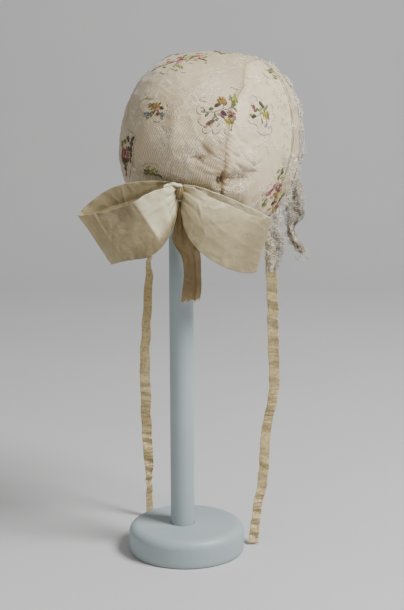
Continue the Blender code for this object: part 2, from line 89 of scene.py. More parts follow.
# Smaller creases of the cloth, given in the same way
CAP_CREASES = [
    (27.5, -37.0, 34.0, -44.5, 1.3, 1.1), (25.0, -35.5, 30.0, -36.5, 1.0, 0.9),
    (23.0, -33.5, 26.0, -39.0, 1.0, 0.8), (29.0, -34.0, 30.5, -25.0, 1.4, 0.6),
    (27.0, -33.0, 27.5, -22.0, 1.6, 0.5), (33.5, -36.0, 35.0, -30.0, 1.2, 0.5),
    (30.5, -21.0, 31.0, -27.0, 1.6, 0.7), (36.5, -27.0, 34.0, -31.0, 1.5, 0.6),
    (40.0, -45.0, 44.0, -42.5, 1.2, 0.5), (38.5, -43.5, 39.5, -40.0, 1.0, 0.5),
    (43.0, -36.0, 36.0, -36.5, 1.6, -0.4), (20.0, 2.0, 31.0, -3.0, 1.6, 0.6),
    (20.0, 6.0, 29.0, 9.0, 1.5, 0.6), (19.0, -5.0, 27.0, -9.0, 1.4, 0.6),
    (21.0, -14.0, 29.0, -17.0, 1.8, 0.5), (52.0, -15.0, 44.0, -14.0, 2.2, -0.4),
    (60.0, -6.0, 40.0, -8.0, 2.4, 0.35), (74.0, -26.0, 66.0, -34.0, 1.5, 0.5),
    (66.0, -36.0, 61.0, -44.0, 1.6, 0.5), (62.0, -49.0, 58.5, -50.0, 1.2, 0.9),
    (56.0, -47.0, 46.0, -47.0, 2.4, 0.5), (82.0, 8.0, 74.0, -12.0, 2.2, 0.4),
    (78.0, 26.0, 62.0, 33.0, 2.2, 0.45), (58.0, 38.0, 44.0, 41.0, 2.4, 0.5),
    (47.0, 30.0, 33.0, 33.0, 2.2, 0.5), (36.0, 20.0, 26.0, 24.0, 1.7, 0.6),
    (59.5, 11.5, 57.0, 31.0, 1.4, 0.7), (57.0, 31.0, 43.5, 27.2, 1.2, 1.1),
    (43.5, 27.2, 32.0, 25.5, 1.2, 0.9), (34.5, -8.4, 36.8, -25.0, 0.8, 0.45),
    (39.0, -40.1, 41.0, -44.0, 0.9, 0.9), (41.0, -44.0, 44.5, -47.1, 0.9, 0.9),
    (44.5, -47.1, 53.0, -48.9, 0.9, 0.9), (50.5, -39.1, 47.0, -42.8, 1.6, 0.9),
    (47.0, -42.8, 50.0, -46.3, 1.6, 0.9), (36.0, -40.7, 37.0, -44.6, 1.1, 1.0),
    (37.0, -44.6, 44.5, -47.5, 1.1, 1.0), (71.8, -37.6, 76.0, -41.6, 2.2, 0.75),
    (76.0, -41.6, 80.0, -46.7, 2.2, 0.75), (80.0, -46.7, 81.0, -50.9, 2.2, 0.75),
    (81.0, -50.9, 80.2, -53.2, 2.2, 0.75), (80.2, -53.2, 78.5, -54.3, 2.2, 0.75),
]

# The bow, given as across, up and off from its knot in mm, and how far each stretch bellies out
BOW_KNOT = np.array([-10, 27.9, 253.6]) * MM
BOW_YAW = math.radians(20)
LEFT_LOOP = [
    ((-1.5, 0, 3), (-1, -9, 3), 0), ((-10, -1, 8), (-4, -24, 9), 3), ((-20, -4, 12), (-11, -37, 12), 5),
    ((-30, -10, 13), (-20, -44, 12), 4), ((-41, -14, 10), (-28, -46, 9), 0),
    ((-53, -16.5, 8.5), (-35, -47, 8), -1), ((-62, -18.5, 5), (-41, -49, 6), 0),
    ((-64, -18.5, 1), (-44, -50, 1), 0), ((-60, -14, -2), (-41, -47, -4), 1),
    ((-50, -6, -2), (-35, -42, -5), 1), ((-39, -0.5, 0), (-28, -36, -5), 1),
    ((-27, 2, 1), (-18, -28, -4), 1), ((-13, 2.5, 2), (-8, -17, -1), 0),
    ((-2.5, 1, 1), (-2, -9, -0.5), 0),
]
RIGHT_LOOP = [
    ((1, 0, 3), (0.5, -12, 3), 0), ((9, -2, 6), (1, -22, 8), 2), ((20, -8, 6), (6, -34, 10), 3),
    ((31, -13, 3.5), (16, -44.5, 10), 3), ((43, -19, -1), (28, -52, 7), 2),
    ((53, -23, -6), (41, -57, 0), 1), ((58, -25, -10), (48, -57, -5), 0),
    ((55, -22, -11.5), (45, -55, -9), 0.5), ((47, -17, -7.5), (35, -47, -7), 1),
    ((37, -12, -3), (25, -39, -5), 1), ((24, -6, 1.5), (15, -29, -3), 1),
    ((12, -1.5, 2.5), (6, -18, -1), 0), ((2, 0, 1.5), (1.5, -11, -0.5), 0),
]
BOW_TAIL = [
    ((-3, -10.5, 1), (2, -11.5, 1), 0), ((-4, -27, 1), (8, -29, 1), 1), ((-5, -36, 1), (11.5, -40, 1), 2),
    ((0.5, -47, -1), (12.5, -49, -1), 2), ((2, -59, -3), (13, -59, -3), 2),
    ((1, -68, -4), (13, -68, -4), 1), ((0, -77, -5), (12, -75, -5), 1),
]
# Creases of the loops: from a stretch and a share of the way down it to another, width and depth
LEFT_CREASES = [
    (0.3, 0.25, 3.0, 0.12, 0.9, -0.6), (0.4, 0.5, 2.4, 0.35, 1.0, 0.8), (0.5, 0.75, 2.6, 0.62, 1.2, -0.9),
    (2.95, 0.04, 2.05, 0.9, 1.3, -1.5), (1.4, 0.2, 1.3, 0.8, 1.2, 0.6), (3.1, 0.1, 4.8, 0.4, 1.3, 0.6),
    (2.9, 0.75, 5.0, 0.9, 1.2, -0.5), (3.4, 0.45, 4.9, 0.62, 0.9, 0.5), (5.15, 0.0, 4.95, 1.0, 0.7, 1.5),
    (8.5, 0.2, 12.0, 0.3, 1.6, 0.8), (9.0, 0.6, 12.4, 0.6, 1.4, -0.8),
]
RIGHT_CREASES = [
    (0.3, 0.2, 3.6, 0.3, 1.0, 0.7), (0.4, 0.42, 3.0, 0.6, 0.9, -0.7), (0.5, 0.7, 2.2, 0.92, 0.9, 0.6),
    (1.5, 0.12, 5.0, 0.16, 0.9, -0.45), (1.5, 0.3, 2.0, 0.5, 0.8, -0.8), (2.3, 0.55, 3.4, 0.26, 1.1, 0.5),
    (3.0, 0.48, 5.3, 0.6, 1.0, -0.4), (3.5, 0.92, 4.8, 0.72, 0.8, 0.45), (8.5, 0.4, 11.2, 0.5, 1.6, 0.8),
]

# The ties and the torn lace: x, y, z and width in mm, and turn about the vertical in degrees
RIGHT_TIE = [
    (-44.5, -41.9, 231, 6.0, 83), (-44.4, -42.1, 223, 6.0, 83), (-46.5, -46.5, 204, 6.8, 40),
    (-46.5, -52, 178, 7.4, 24), (-47.5, -52, 152, 7.4, 16), (-48.5, -51, 129, 7.4, 22),
    (-49.5, -49.5, 108, 7.2, 30), (-48.5, -46, 92, 6.6, 12), (-46, -42, 74, 6.6, 26),
    (-46.5, -36, 52, 6.6, 14), (-45.5, -31.5, 34, 6.6, 28), (-44, -26.5, 20, 6.2, 20),
    (-44, -21.5, 1.2, 7.0, 24),
]
LEFT_TIE = [
    (34.0, -51.5, 231, 6.0, 83), (33.7, -51.5, 223, 6.0, 83), (37.0, -51.4, 206, 6.6, 80),
    (42.5, -50.5, 186, 4.4, 62), (42.5, -51, 172, 5.6, 22), (45, -50, 138, 6.4, 12),
    (45.5, -49.5, 105, 7.2, 26), (45.5, -49.5, 79, 7.2, 14), (44.5, -50, 58, 7.0, 30),
    (44, -50, 42, 6.6, 20), (43.5, -50, 28, 5.0, 56), (43.5, -50, 3, 5.0, 40),
]
LACE_FALL = [
    (-62, -53, 256, 6.0, 50), (-61.5, -55, 247, 9.5, 35), (-61.5, -56, 238, 13.0, 20),
    (-61.5, -57, 230, 13.5, 10), (-61.5, -57, 223, 13.0, 5), (-58, -57, 216.5, 6.0, 5),
    (-59.5, -57, 209.5, 7.0, 0), (-63.5, -57, 203.5, 8.0, 0), (-65.5, -57, 199, 8.0, 0),
]
LACE_END = [
    (-54.0, -43.5, 230, 5.0, 78), (-52.5, -42.2, 222, 9.0, 40), (-52.0, -41.8, 213, 12.5, 20),
    (-52.0, -41.8, 205, 13.5, 20), (-51.0, -42.0, 196, 12.5, 20), (-49.5, -42.0, 188, 7.0, 15),
]
# Thickness of each cloth
PANEL_CLOTH = 0.9 * MM
BAND_CLOTH = 0.35 * MM
RIBBON_CLOTH = 0.4 * MM
TIE_CLOTH = 0.35 * MM

# The lace's sizes
LACE_WIDTH = 5 * MM
FRILL_LENGTH = 0.300
LACE_WAVES = 20
LACE_WAVE_DEPTH = 1.1 * MM
LACE_FLARE = math.radians(6)
RIB_PITCH = 1.3  # of the silk, in mm
NET_SIDE = 0.95 * MM  # side of one mesh of the net
NET_THREAD = 0.12 * MM  # its thread's radius
LACE_CORD_RADIUS = 0.21 * MM

# Woven sprays. A leaf is x and y mm from its spray's middle, x to the right as seen from
# outside and y towards the forehead, its length, its width and its turn in degrees from x
MAIN_LEAVES = {
    "gold": [(-2.3, 5.6, 4.8, 2.4, -58), (-3.2, 3.8, 4.3, 1.8, -32)],
    "amber": [(-0.3, 6.6, 5.2, 2.3, -74), (1, 6.6, 5.9, 2, -94)],
    "bark": [(2.2, 6.3, 3.7, 1.3, -101)],
    "brown": [(-3.6, 1.1, 6, 2, 43)],
    "sage": [(-14.8, -6.3, 3.4, 1, 32), (-13.9, -8.6, 3.4, 1, 15), (-3.9, -5.9, 2.8, 1.3, -40),
        (-1.7, -4.1, 2.2, 1, 0), (-0.8, -10.6, 3.6, 1, 60)],
    "moss": [(-12.6, -7, 2.7, 0.9, -57), (-7.7, -3.8, 4, 1.9, 35), (-10.1, -8.8, 3.8, 1.6, 55),
        (-4.8, -7.9, 3.3, 1, 71), (-2.3, -7.7, 3.3, 1.4, 56)],
    "umber": [(-6.5, -12.2, 8.6, 2.3, 47), (6.8, 0.9, 6.5, 2, 44)],
    "pink": [(-9.2, -16, 3.4, 1.4, 42), (-5.7, -13.8, 3.1, 1, 46), (10, 2.5, 2.5, 1.2, -64)],
    "lime": [(5.7, 12.7, 4.2, 2.1, -40), (8.2, 15.1, 5.1, 2, -78), (10.4, 15.1, 3.3, 1.2, -71),
        (10.2, 8.1, 2.8, 1.3, -40)],
    "green": [(4.8, 12, 3.2, 1, 77), (8.4, 9.7, 6.9, 1.9, 58)],
    "olive": [(8.2, 11.3, 6.3, 1.8, 59), (8.6, -0.7, 5.1, 1.6, -102), (6.2, -3.6, 2.8, 0.9, -75)],
    "maroon": [(1.7, -1.1, 4.9, 3, 16)],
    "plum": [(1.3, -3.6, 3.3, 1.9, 0)],
    "rose": [(-0.5, -2.3, 3.6, 0.9, -96), (5.7, 2.9, 5.7, 1.6, 46), (8.6, 4.3, 4.6, 1.9, 30)],
    "yellow": [(4.1, -4.3, 3.9, 2.4, -20), (6.8, -1.8, 3.4, 2.4, -15), (5.2, -5.2, 3.7, 1.8, 7)],
}
MAIN_STEMS = [
    ("moss", 0.55, [(-13.4, -9), (-9.7, -6.8), (-6.1, -5), (-3.2, -2.7), (0.1, 0.9), (3.7, 3.2),
        (6.2, 6.3), (8.8, 9.9)]),
    ("moss", 0.5, [(0.8, 3.6), (0.8, 1.4)]),
    ("moss", 0.45, [(-9.4, -6.8), (-10.1, -9)]),
    ("moss", 0.45, [(-5, -4.5), (-3.6, -5.9), (-4.3, -8.6)]),
    ("umber", 0.7, [(8.4, -1.4), (8.4, -4.1), (7.7, -8.1)]),
]
MAIN_OUTLINE = [
    [(-13.7, 1.8), (-17, 0), (-18.4, -2.7), (-14.8, -1.8), (-11.9, -0.9)],
    [(-17, -5), (-19.2, -8.1), (-17.7, -10.8), (-14.4, -10.8)],
    [(-14.4, -12.2), (-15.9, -15.4), (-12.6, -16.7), (-10.8, -16.3)],
    [(-11.5, -18.1), (-10.8, -20.3), (-7.5, -19.4), (-5.7, -16.7)],
    [(-4.6, -15.8), (-3.2, -17.6), (-0.3, -15.4), (0.4, -12.2)],
    [(3.3, 19.4), (6.6, 20.8), (9.1, 21.7), (8.8, 18.1)],
    [(13.5, 33.4), (12.8, 27.6), (11.3, 20.8), (10.2, 16.3)],
    [(3.7, -9.9), (3.7, -12.7), (5.9, -12.2)],
]
RIGHT_LEAVES = {
    "bark": [(-3.4, 2.6, 5.8, 2.2, 7), (-7.2, -9.5, 6.6, 2.1, 43)],
    "sage": [(-1.9, 3.5, 4.3, 1.2, 26), (-4.1, -2.1, 3.6, 1, 18), (-10.4, -11.1, 3.1, 1.2, 38)],
    "green": [(1.4, 6.5, 3.4, 1.6, 90)],
    "lime": [(1, 3.9, 4.6, 1.6, 65), (-2.4, -0.1, 5.4, 1.5, 57), (1.4, 0.1, 3.1, 1.4, -21),
        (-1, -1.6, 3.6, 1.2, 57)],
    "moss": [(1, 3.3, 3, 1.3, 90), (-5.8, -3.8, 4.2, 1.9, 63)],
    "yellow": [(3.4, 1.8, 4.5, 2, -30)],
    "olive": [(5.1, 3.7, 4.9, 2.4, -27), (1.9, -4.4, 3.5, 1.2, -33)],
    "rose": [(-9.4, -4.8, 3.9, 2, 29), (-7.7, -5.7, 3, 1.6, 15)],
    "brick": [(-9.2, -4.4, 2.2, 1.6, -30)],
    "pink": [(-11.6, -5.5, 2, 1.2, 11), (10.9, 0.7, 3.3, 1, 64)],
    "lilac": [(7.5, -2, 4.5, 1.6, 57), (7.7, -0.3, 2.2, 1.2, 30), (11.6, 3.9, 2.8, 1.1, 70)],
}
RIGHT_STEMS = [
    ("moss", 0.5, [(-5.3, -8.3), (-2.4, -4.2), (0, -0.5), (1, 2.9)]),
    ("moss", 0.45, [(-1.9, 3.7), (0, 3.7), (1.9, 2.9)]),
    ("olive", 0.4, [(5.8, 1.1), (6.8, -0.5), (7.2, -2.3)]),
]
RIGHT_OUTLINE = [
    [(-15, -3.1), (-13, 0.3), (-9.2, 2.2), (-7.7, 1.1)],
    [(-0.5, -11), (1, -12.8), (5.3, -11), (9.7, -6.8)],
    [(10.1, -6.1), (13.5, -1.2), (14, 2.6), (12.1, 2.9)],
    [(-12.6, -16.2), (-9.2, -15.5), (-4.8, -12.5), (-1, -11)],
    [(2.9, 11.6), (6.3, 12.7), (6.8, 10.1)],
    [(7.7, 9.7), (10.6, 10.8), (11.1, 7.4)],
]
GOLD_LEAVES = {
    "gold": [(-3.8, 1.9, 4.3, 1.7, 28), (-2.1, 2.4, 4, 1.2, 87), (0.1, 2.6, 3.7, 1.3, 109),
        (2.1, 2.9, 3.3, 1.3, 65), (-2.1, 0.1, 3.4, 1.1, 26)],
    "olive": [(-5, 2.9, 2.1, 1, 28), (-2.5, -2.6, 2.6, 1.4, 50)],
    "amber": [(0.9, 1.1, 4.1, 2, 22)],
    "bark": [(3.7, 0.4, 3, 1.9, -19)],
    "umber": [(-0.5, -2.1, 4.2, 1.2, 71), (2.4, -3.6, 2.9, 2.2, 43)],
    "brick": [(1.7, -1.6, 2.3, 0.8, -59)],
    "yellow": [(-0.4, -1.6, 2.3, 0.8, 59)],
    "blue": [(-6.8, -3.1, 2.8, 1.5, 21), (-6.4, -4.8, 2.4, 1.1, 12), (4.8, -2.8, 1.7, 1.3, 17),
        (6.3, -3.6, 2.4, 1.2, 55)],
    "slate": [(-3.9, -4.1, 3.7, 1.1, 16), (-2.3, -5.1, 1.9, 0.7, 31), (-5, -2.8, 2, 0.8, -15),
        (5, -5.3, 3.9, 0.9, -65)],
    "sage": [(-4.5, -6.1, 2.4, 0.7, 180)],
}
GOLD_STEMS = [
    ("umber", 0.5, [(0.2, -0.6), (1.4, -1.6), (2.3, -3.1)]),
]
GOLD_OUTLINE = [
    [(-11.8, 7.4), (-9.7, 8.4), (-5.9, 6.9), (-3.8, 7.4)],
    [(-10.2, -0.6), (-12.8, 2.9), (-11.8, 5.4)],
    [(6.6, 3.9), (8.2, 1.4), (7.7, -1.6)],
    [(0, -8.1), (2.8, -8.6), (4.7, -8.1)],
]
EDGE_LEAVES = {
    "umber": [(3.1, 8.3, 3.7, 1.9, 7), (4.2, 6.4, 2.6, 2.1, 69), (10.3, 5.7, 5, 2.7, 23),
        (7.2, 3.7, 2.5, 2.8, 51)],
    "bark": [(9.7, 2.8, 2.5, 2.1, 51), (6.3, 0.4, 4, 4.2, -134), (4.3, -2.7, 3.8, 3.4, -119),
        (2.8, 1.1, 3.4, 2.1, -80), (-6.4, -9.7, 4.1, 2.8, -28)],
    "olive": [(-6.8, 7.6, 5.5, 3.8, -60), (-1.3, 7.1, 5.5, 2.3, -44), (-4.7, -7.8, 2.9, 2.5, -84),
        (2.5, -6.1, 3.6, 1.7, -70)],
    "brick": [(-6.7, 2.5, 5.9, 4.2, -146), (-3.6, 0.4, 5.4, 3.8, -117), (-0.6, -5.1, 2.5, 1.9, -104)],
    "rose": [(-0.2, -2, 4.5, 3.4, -123), (-8, -1.1, 5.2, 4.2, -66), (0.1, 1.8, 4.2, 2.3, -64),
        (-9.3, -12.8, 4.2, 1.9, -160)],
    "brown": [(-5.3, -4.2, 8.9, 3.8, -22), (-4.5, -4.9, 6.8, 3.4, 8)],
}
EDGE_STEMS = [
    ("umber", 0.5, [(7.7, 5.2), (7.1, 0.9), (4.3, -3.4), (-0.9, -6.8), (-5.4, -9.7), (-8.5, -12.5)]),
]
EDGE_OUTLINE = [
    [(1.6, 14.8), (7.7, 10.9), (12.6, 8), (14.4, 6.1)],
    [(14.4, 5.2), (12.3, 2.8), (11.1, 0.4), (10.8, -2)],
    [(10.2, -2.5), (8, -5.4), (5.3, -7.8), (3.7, -10.6)],
    [(3.1, -11.1), (-2.4, -14), (-8.2, -16.4)],
]
LOW_LEAVES = {
    "moss": [(-4.4, 1.6, 3.5, 1.2, -32), (-2.7, 1.6, 3.8, 1, 9), (-2.1, 1.6, 3.1, 0.9, -82),
        (0.1, 0.9, 3.2, 1, -101), (2.7, -1.6, 3.8, 1.3, -9), (5.4, -2.2, 3, 1.2, -39)],
    "gold": [(-3.7, -0.3, 4.9, 1.6, 7), (-0.7, -0.9, 5.2, 1.9, 21), (1.4, -0.9, 3, 1.3, -39)],
    "lime": [(1.1, 1.9, 6, 1.8, 39), (-1.9, 4.4, 3.6, 1.1, 20)],
    "olive": [(-5.1, 0.9, 3.1, 1.1, 37), (3.9, 1.2, 2.3, 1, 33)],
    "bark": [(-0.5, -0.9, 2, 0.9, 18)],
}
LOW_STEMS = [
    ("moss", 0.45, [(-5.1, 1.9), (-1.7, 0), (1.9, -1.2), (6.3, -3.7)]),
]
LOW_OUTLINE = [
    [(-6.7, 5), (-3.2, 6.9), (0.2, 7.5)],
    [(0.8, 6.9), (4, 6.9), (5.7, 4.4)],
]
TRAIL_LEAVES = {
    "green": [(-14.8, 5.8, 2.6, 1.1, -16), (-10.7, 4.2, 2.9, 1.4, 171), (-8.7, -7.1, 4.1, 1.6, 39)],
    "moss": [(-12.5, 5.7, 2.2, 1.2, -11), (-9.2, -9.5, 5.5, 1.8, 24), (2.9, 9.6, 3.3, 1.5, 130),
        (9.4, -13.5, 7.5, 1.9, 31)],
    "sage": [(-15.2, 4, 1.8, 1.7, 126), (-13.7, -8.2, 3.4, 1.2, 43)],
    "lime": [(-9.2, 5.9, 1.6, 1.3, 154), (0.6, 7.2, 1.6, 1, 131), (-6, -9.5, 6.4, 1.6, 26),
        (-4.6, -6.6, 3.8, 1.3, 56)],
    "rose": [(-6.9, 0.6, 2.8, 2.1, 97), (-14.3, -5.5, 4.2, 1, 32), (-4.8, 5.1, 4.1, 1.5, 39),
        (-1.2, 5.9, 2.6, 1.6, 115), (8.3, 6.3, 3, 1.1, 104)],
    "brick": [(-8.2, -2.4, 6.3, 2.1, 47), (-9.1, -4.1, 7.9, 1.3, 31), (-2.3, 3.7, 5.8, 1.5, 36),
        (9.7, 5.4, 8.2, 1.6, 85)],
    "plum": [(-7.1, 1.5, 4.7, 1.1, 23)],
    "pink": [(-7.3, 3.3, 3.9, 1.2, 35), (-1.7, -1.6, 6.7, 1.4, 31), (-3.9, 4.1, 4.2, 1, 48)],
    "amber": [(0.8, 2.4, 7.7, 2, 33)],
    "yellow": [(2, 4.7, 3.1, 1.5, 125)],
    "bark": [(5.3, 8, 3.1, 2, 144)],
    "brown": [(4.9, -1.3, 4.6, 1.6, 76)],
    "umber": [(5.1, 1.5, 6.9, 1.3, 72), (4.7, -7.9, 6.3, 1, 55)],
    "olive": [(12.6, -1.3, 17.9, 1.9, 95)],
}
TRAIL_STEMS = [
    ("umber", 0.5, [(2.6, 2.2), (4.7, 1.2), (6.5, -0.8)]),
    ("moss", 0.45, [(-15.3, 5.9), (-11.4, 5.1), (-8.5, 3.8), (-4.9, 3)]),
    ("moss", 0.45, [(5.8, 8.2), (9.4, 6.1), (13.3, 0.3), (11.9, -15.4)]),
]
TRAIL_OUTLINE = [
    [(-22.1, -11.7), (-18.9, -10.2), (-17.8, -8.7)],
    [(-17.5, -8), (-20, -6.9), (-16.4, -4.9)],
    [(-15.7, -4.2), (-15.7, -2.6), (-11, 0.1)],
]
TOP_LEAVES = {
    "umber": [(-18.5, -4.7, 3.6, 1.8, 25), (-16.4, -2.5, 3.8, 1.8, 15)],
    "olive": [(-13, -3.2, 3.7, 1.9, 71), (12.2, 10.4, 4.5, 1.5, 63)],
    "sage": [(-8.6, -6.9, 4.1, 1.2, 76), (4.3, -0.2, 3, 1.4, 57), (9.6, 17.8, 5, 1.4, 83),
        (2.3, -13.4, 2.4, 0.9, 24)],
    "moss": [(-8.7, -7.7, 5.8, 0.9, -51), (-3, 10.7, 6.5, 1.7, 94), (3.7, 7.4, 9.1, 1.9, 100),
        (13.3, 5, 5.4, 1.7, -21)],
    "rust": [(-11.1, 1.7, 3, 2, 29), (-7.4, -1, 3.5, 1.7, 58), (-6.3, 8.4, 3.8, 1.6, 15),
        (-1.3, 2.5, 6.1, 1.2, -40), (5.9, 9.9, 6.6, 2.2, 64), (10.5, 5.9, 4.3, 1.4, -27)],
    "amber": [(-14.6, 8.2, 2.5, 1.2, 36), (8.8, 2, 3.2, 1, 18)],
    "pink": [(-6, 3, 3.5, 1.8, 58), (0.5, -3.7, 4.1, 1.4, 21)],
    "rose": [(-1.2, -1, 6.6, 1.8, -37)],
    "brick": [(-2.1, 4.2, 5.5, 2, 84), (5.8, 11.6, 3.6, 1, 43)],
    "lime": [(1.5, 5.4, 6.9, 2.4, 88), (1, 8.9, 6, 1.6, 98), (16.3, 1, 1.8, 0.8, 0),
        (2.3, -9.2, 5.5, 1.3, -39)],
    "salmon": [(4.8, 16.6, 5.5, 1.8, 39), (9, 11.1, 6.6, 1.8, 78)],
    "green": [(-0.8, -7.7, 4.5, 1.1, 85), (4.1, -9.9, 4.4, 1, -42)],
}
TOP_STEMS = [
    ("moss", 0.45, [(-14.4, -3.5), (-9.7, -2.5), (-4.7, -2), (-0.4, -0.5), (3.7, 1.5), (7.1, 5),
        (12.6, 5.4)]),
    ("moss", 0.4, [(-1.8, -1.5), (1, -6.9), (3.2, -9.9)]),
]
TOP_OUTLINE = [
    [(6.3, -7.4), (6.9, -3.5), (9.3, -3.5), (10.4, -1)],
    [(6.5, -15.4), (9.1, -14.9)],
    [(-8.3, -14.9), (-4.3, -17.3), (-1.6, -16.8)],
    [(-3.2, -14.4), (-2, -11.9), (0.8, -12.9)],
    [(13.4, 14.9), (13.4, 21.8), (14.2, 25.8)],
]
BITS_LEAVES = {
    "green": [(-1.7, 4.3, 9.3, 1.8, 98)],
    "moss": [(-0.1, 2.6, 6.7, 1.4, 90)],
    "lime": [(3, 3.2, 4.6, 1.6, 54)],
    "sage": [(4.8, 2.2, 4.5, 1.4, 67), (-2.8, 0.5, 5, 1.1, 90)],
}
BITS_STEMS = [
    ("olive", 0.4, [(-3.2, -7.4), (-0.1, -6.2), (3, -5.3)]),
]
SPOT_LEAVES = {
    "brown": [(-1, 1.5, 2.6, 1.6, 38), (0.4, -1.9, 2.2, 1.1, 68)],
    "umber": [(1.4, 1.7, 2.9, 1.4, 45), (-1.2, -0.3, 2, 1, 37)],
    "bark": [(-0.2, -1.1, 2.9, 1.8, 45)],
    "olive": [(2.5, -0.1, 2.3, 1, 45)],
}
Spray = namedtuple("Spray", "angle share turn leaves stems outline")
SPRAYS = [
    Spray(51.5, -0.367, 0, MAIN_LEAVES, MAIN_STEMS, MAIN_OUTLINE),
    Spray(67.8, -0.57, 0, RIGHT_LEAVES, RIGHT_STEMS, RIGHT_OUTLINE),
    Spray(43.8, 0.022, 0, GOLD_LEAVES, GOLD_STEMS, GOLD_OUTLINE),
    Spray(31.8, 0.278, 0, EDGE_LEAVES, EDGE_STEMS, EDGE_OUTLINE),
    Spray(24.0, 0.055, 0, LOW_LEAVES, LOW_STEMS, LOW_OUTLINE),
    Spray(59.2, -0.902, 0, TRAIL_LEAVES, TRAIL_STEMS, TRAIL_OUTLINE),
    Spray(67.0, 0.025, 0, TOP_LEAVES, TOP_STEMS, TOP_OUTLINE),
    Spray(86.5, -0.508, 0, BITS_LEAVES, BITS_STEMS, []),
    Spray(25.8, -0.405, 0, SPOT_LEAVES, [], []),
    Spray(60.0, 0.62, 40, MAIN_LEAVES, MAIN_STEMS, MAIN_OUTLINE),
    Spray(76.0, 0.84, 160, EDGE_LEAVES, EDGE_STEMS, EDGE_OUTLINE),
    Spray(40.0, 0.55, -15, RIGHT_LEAVES, RIGHT_STEMS, RIGHT_OUTLINE),
    Spray(82.0, 0.33, 40, GOLD_LEAVES, GOLD_STEMS, GOLD_OUTLINE),
    Spray(83.0, -0.14, -30, LOW_LEAVES, LOW_STEMS, LOW_OUTLINE),
    Spray(62.0, 0.86, 180, LOW_LEAVES, LOW_STEMS, LOW_OUTLINE),
]
THREAD_COLOURS = {
    "gold": (0.33, 0.21, 0.02), "amber": (0.43, 0.215, 0.025), "rust": (0.42, 0.14, 0.04),
    "salmon": (0.62, 0.28, 0.15), "brown": (0.085, 0.04, 0.01), "umber": (0.16, 0.08, 0.03),
    "bark": (0.11, 0.09, 0.025), "olive": (0.31, 0.25, 0.04), "moss": (0.14, 0.155, 0.05),
    "green": (0.18, 0.24, 0.06), "sage": (0.29, 0.32, 0.15), "lime": (0.47, 0.49, 0.08),
    "yellow": (0.56, 0.41, 0.05), "maroon": (0.05, 0.006, 0.012), "plum": (0.20, 0.055, 0.075),
    "brick": (0.33, 0.085, 0.05), "rose": (0.48, 0.16, 0.15), "pink": (0.66, 0.34, 0.30),
    "lilac": (0.66, 0.52, 0.60), "blue": (0.36, 0.44, 0.41), "slate": (0.14, 0.17, 0.14),
    "outline": (0.47, 0.38, 0.26), "scroll": (0.86, 0.78, 0.64),
}


# Shapes
def smooth(at, places, values):
    """A curve through the values at those rising places, for any array of ats."""
    at = np.asarray(at, float)
    places = np.asarray(places, float)
    values = np.asarray(values, float)
    slopes = np.gradient(values, places, axis=0)
    i = np.clip(np.searchsorted(places, at) - 1, 0, len(places) - 2)
    span = (places[i + 1] - places[i])[..., None]
    t = (at - places[i])[..., None] / span
    start, end = values[i], values[i + 1]
    ease_out = t * (1 - t) ** 2 * span
    ease_in = t * t * (t - 1) * span
    return start + (end - start) * t * t * (3 - 2 * t) + slopes[i] * ease_out + slopes[i + 1] * ease_in


def unit(vectors):
    return vectors / np.maximum(np.linalg.norm(vectors, axis=-1, keepdims=True), 1e-12)


def bare_cap(angle, share):
    """Places on the cap's outer face with no folds."""
    angle, share = np.broadcast_arrays(np.asarray(angle, float), np.asarray(share, float))
    reach, half_width, seam, waist, square = np.moveaxis(smooth(angle, SECTION_ANGLES, SECTIONS), -1, 0)
    waist = waist * reach
    part = np.abs(share)
    at_seam = np.arcsin((seam / half_width) ** (square / 2))
    inner = np.arcsin((seam / half_width * np.minimum(part / SEAM_SHARE, 1)) ** (square / 2))
    beyond = np.maximum(part - SEAM_SHARE, 0) / (1 - SEAM_SHARE)
    outer = at_seam + beyond * (math.pi / 2 - at_seam + CORNER_REACH)
    turn = np.where(part <= SEAM_SHARE, inner, outer)
    drop = np.maximum(turn - math.pi / 2, 0)
    raised = np.minimum(turn, math.pi / 2)
    upper_across = half_width * np.sin(raised) ** (2 / square)
    narrowing = half_width - CORNER_HALF_WIDTH
    lower_across = CORNER_HALF_WIDTH + narrowing * np.cos(drop * math.pi / 2)
    upper_out = waist + (reach - waist) * np.maximum(np.cos(raised), 0) ** (2 / square)
    across = np.where(drop > 0, lower_across, upper_across)
    out = np.where(drop > 0, waist * (1 - drop), upper_out)
    slope = np.radians(angle)
    y = CORNER_Y + out * np.cos(slope)
    z = CORNER_Z + out * np.sin(slope)
    return np.stack([np.copysign(across, share), y, z], -1)


def outward(angle, share):
    along = bare_cap(np.add(angle, 0.1), share) - bare_cap(np.subtract(angle, 0.1), share)
    sideways = bare_cap(angle, np.add(share, 0.01)) - bare_cap(angle, np.subtract(share, 0.01))
    direction = unit(np.cross(sideways, along))
    inward = ((bare_cap(angle, share) - CAP_MIDDLE) * direction).sum(-1, keepdims=True) < 0
    return np.where(inward, -direction, direction)


def share_at(angle, across):
    """The share of the place at that distance to the side, on the section's upper part."""
    reach, half_width, seam, waist, square = smooth(angle, SECTION_ANGLES, SECTIONS)
    distance = min(abs(across), half_width)
    if distance <= seam:
        return math.copysign(SEAM_SHARE * distance / seam, across)
    at_seam = math.asin((seam / half_width) ** (square / 2))
    here = math.asin((distance / half_width) ** (square / 2))
    beyond = (here - at_seam) / (math.pi / 2 - at_seam + CORNER_REACH)
    return math.copysign(SEAM_SHARE + (1 - SEAM_SHARE) * beyond, across)


def pressed(points, lines, power=2.0):
    """How far creases press points in. A line is two end points, a width and a depth in mm."""
    depth = np.zeros(points.shape[:-1])
    for start, end, width, most in lines:
        run = end - start
        share = np.clip(((points - start) * run).sum(-1) / (run * run).sum(), 0, 1)
        away = np.linalg.norm(points - start - share[..., None] * run, axis=-1)
        fading = 0.35 + 0.65 * np.sin(math.pi * share)
        depth += most * MM * fading * np.exp(-((away / (width * MM)) ** power))
    return depth


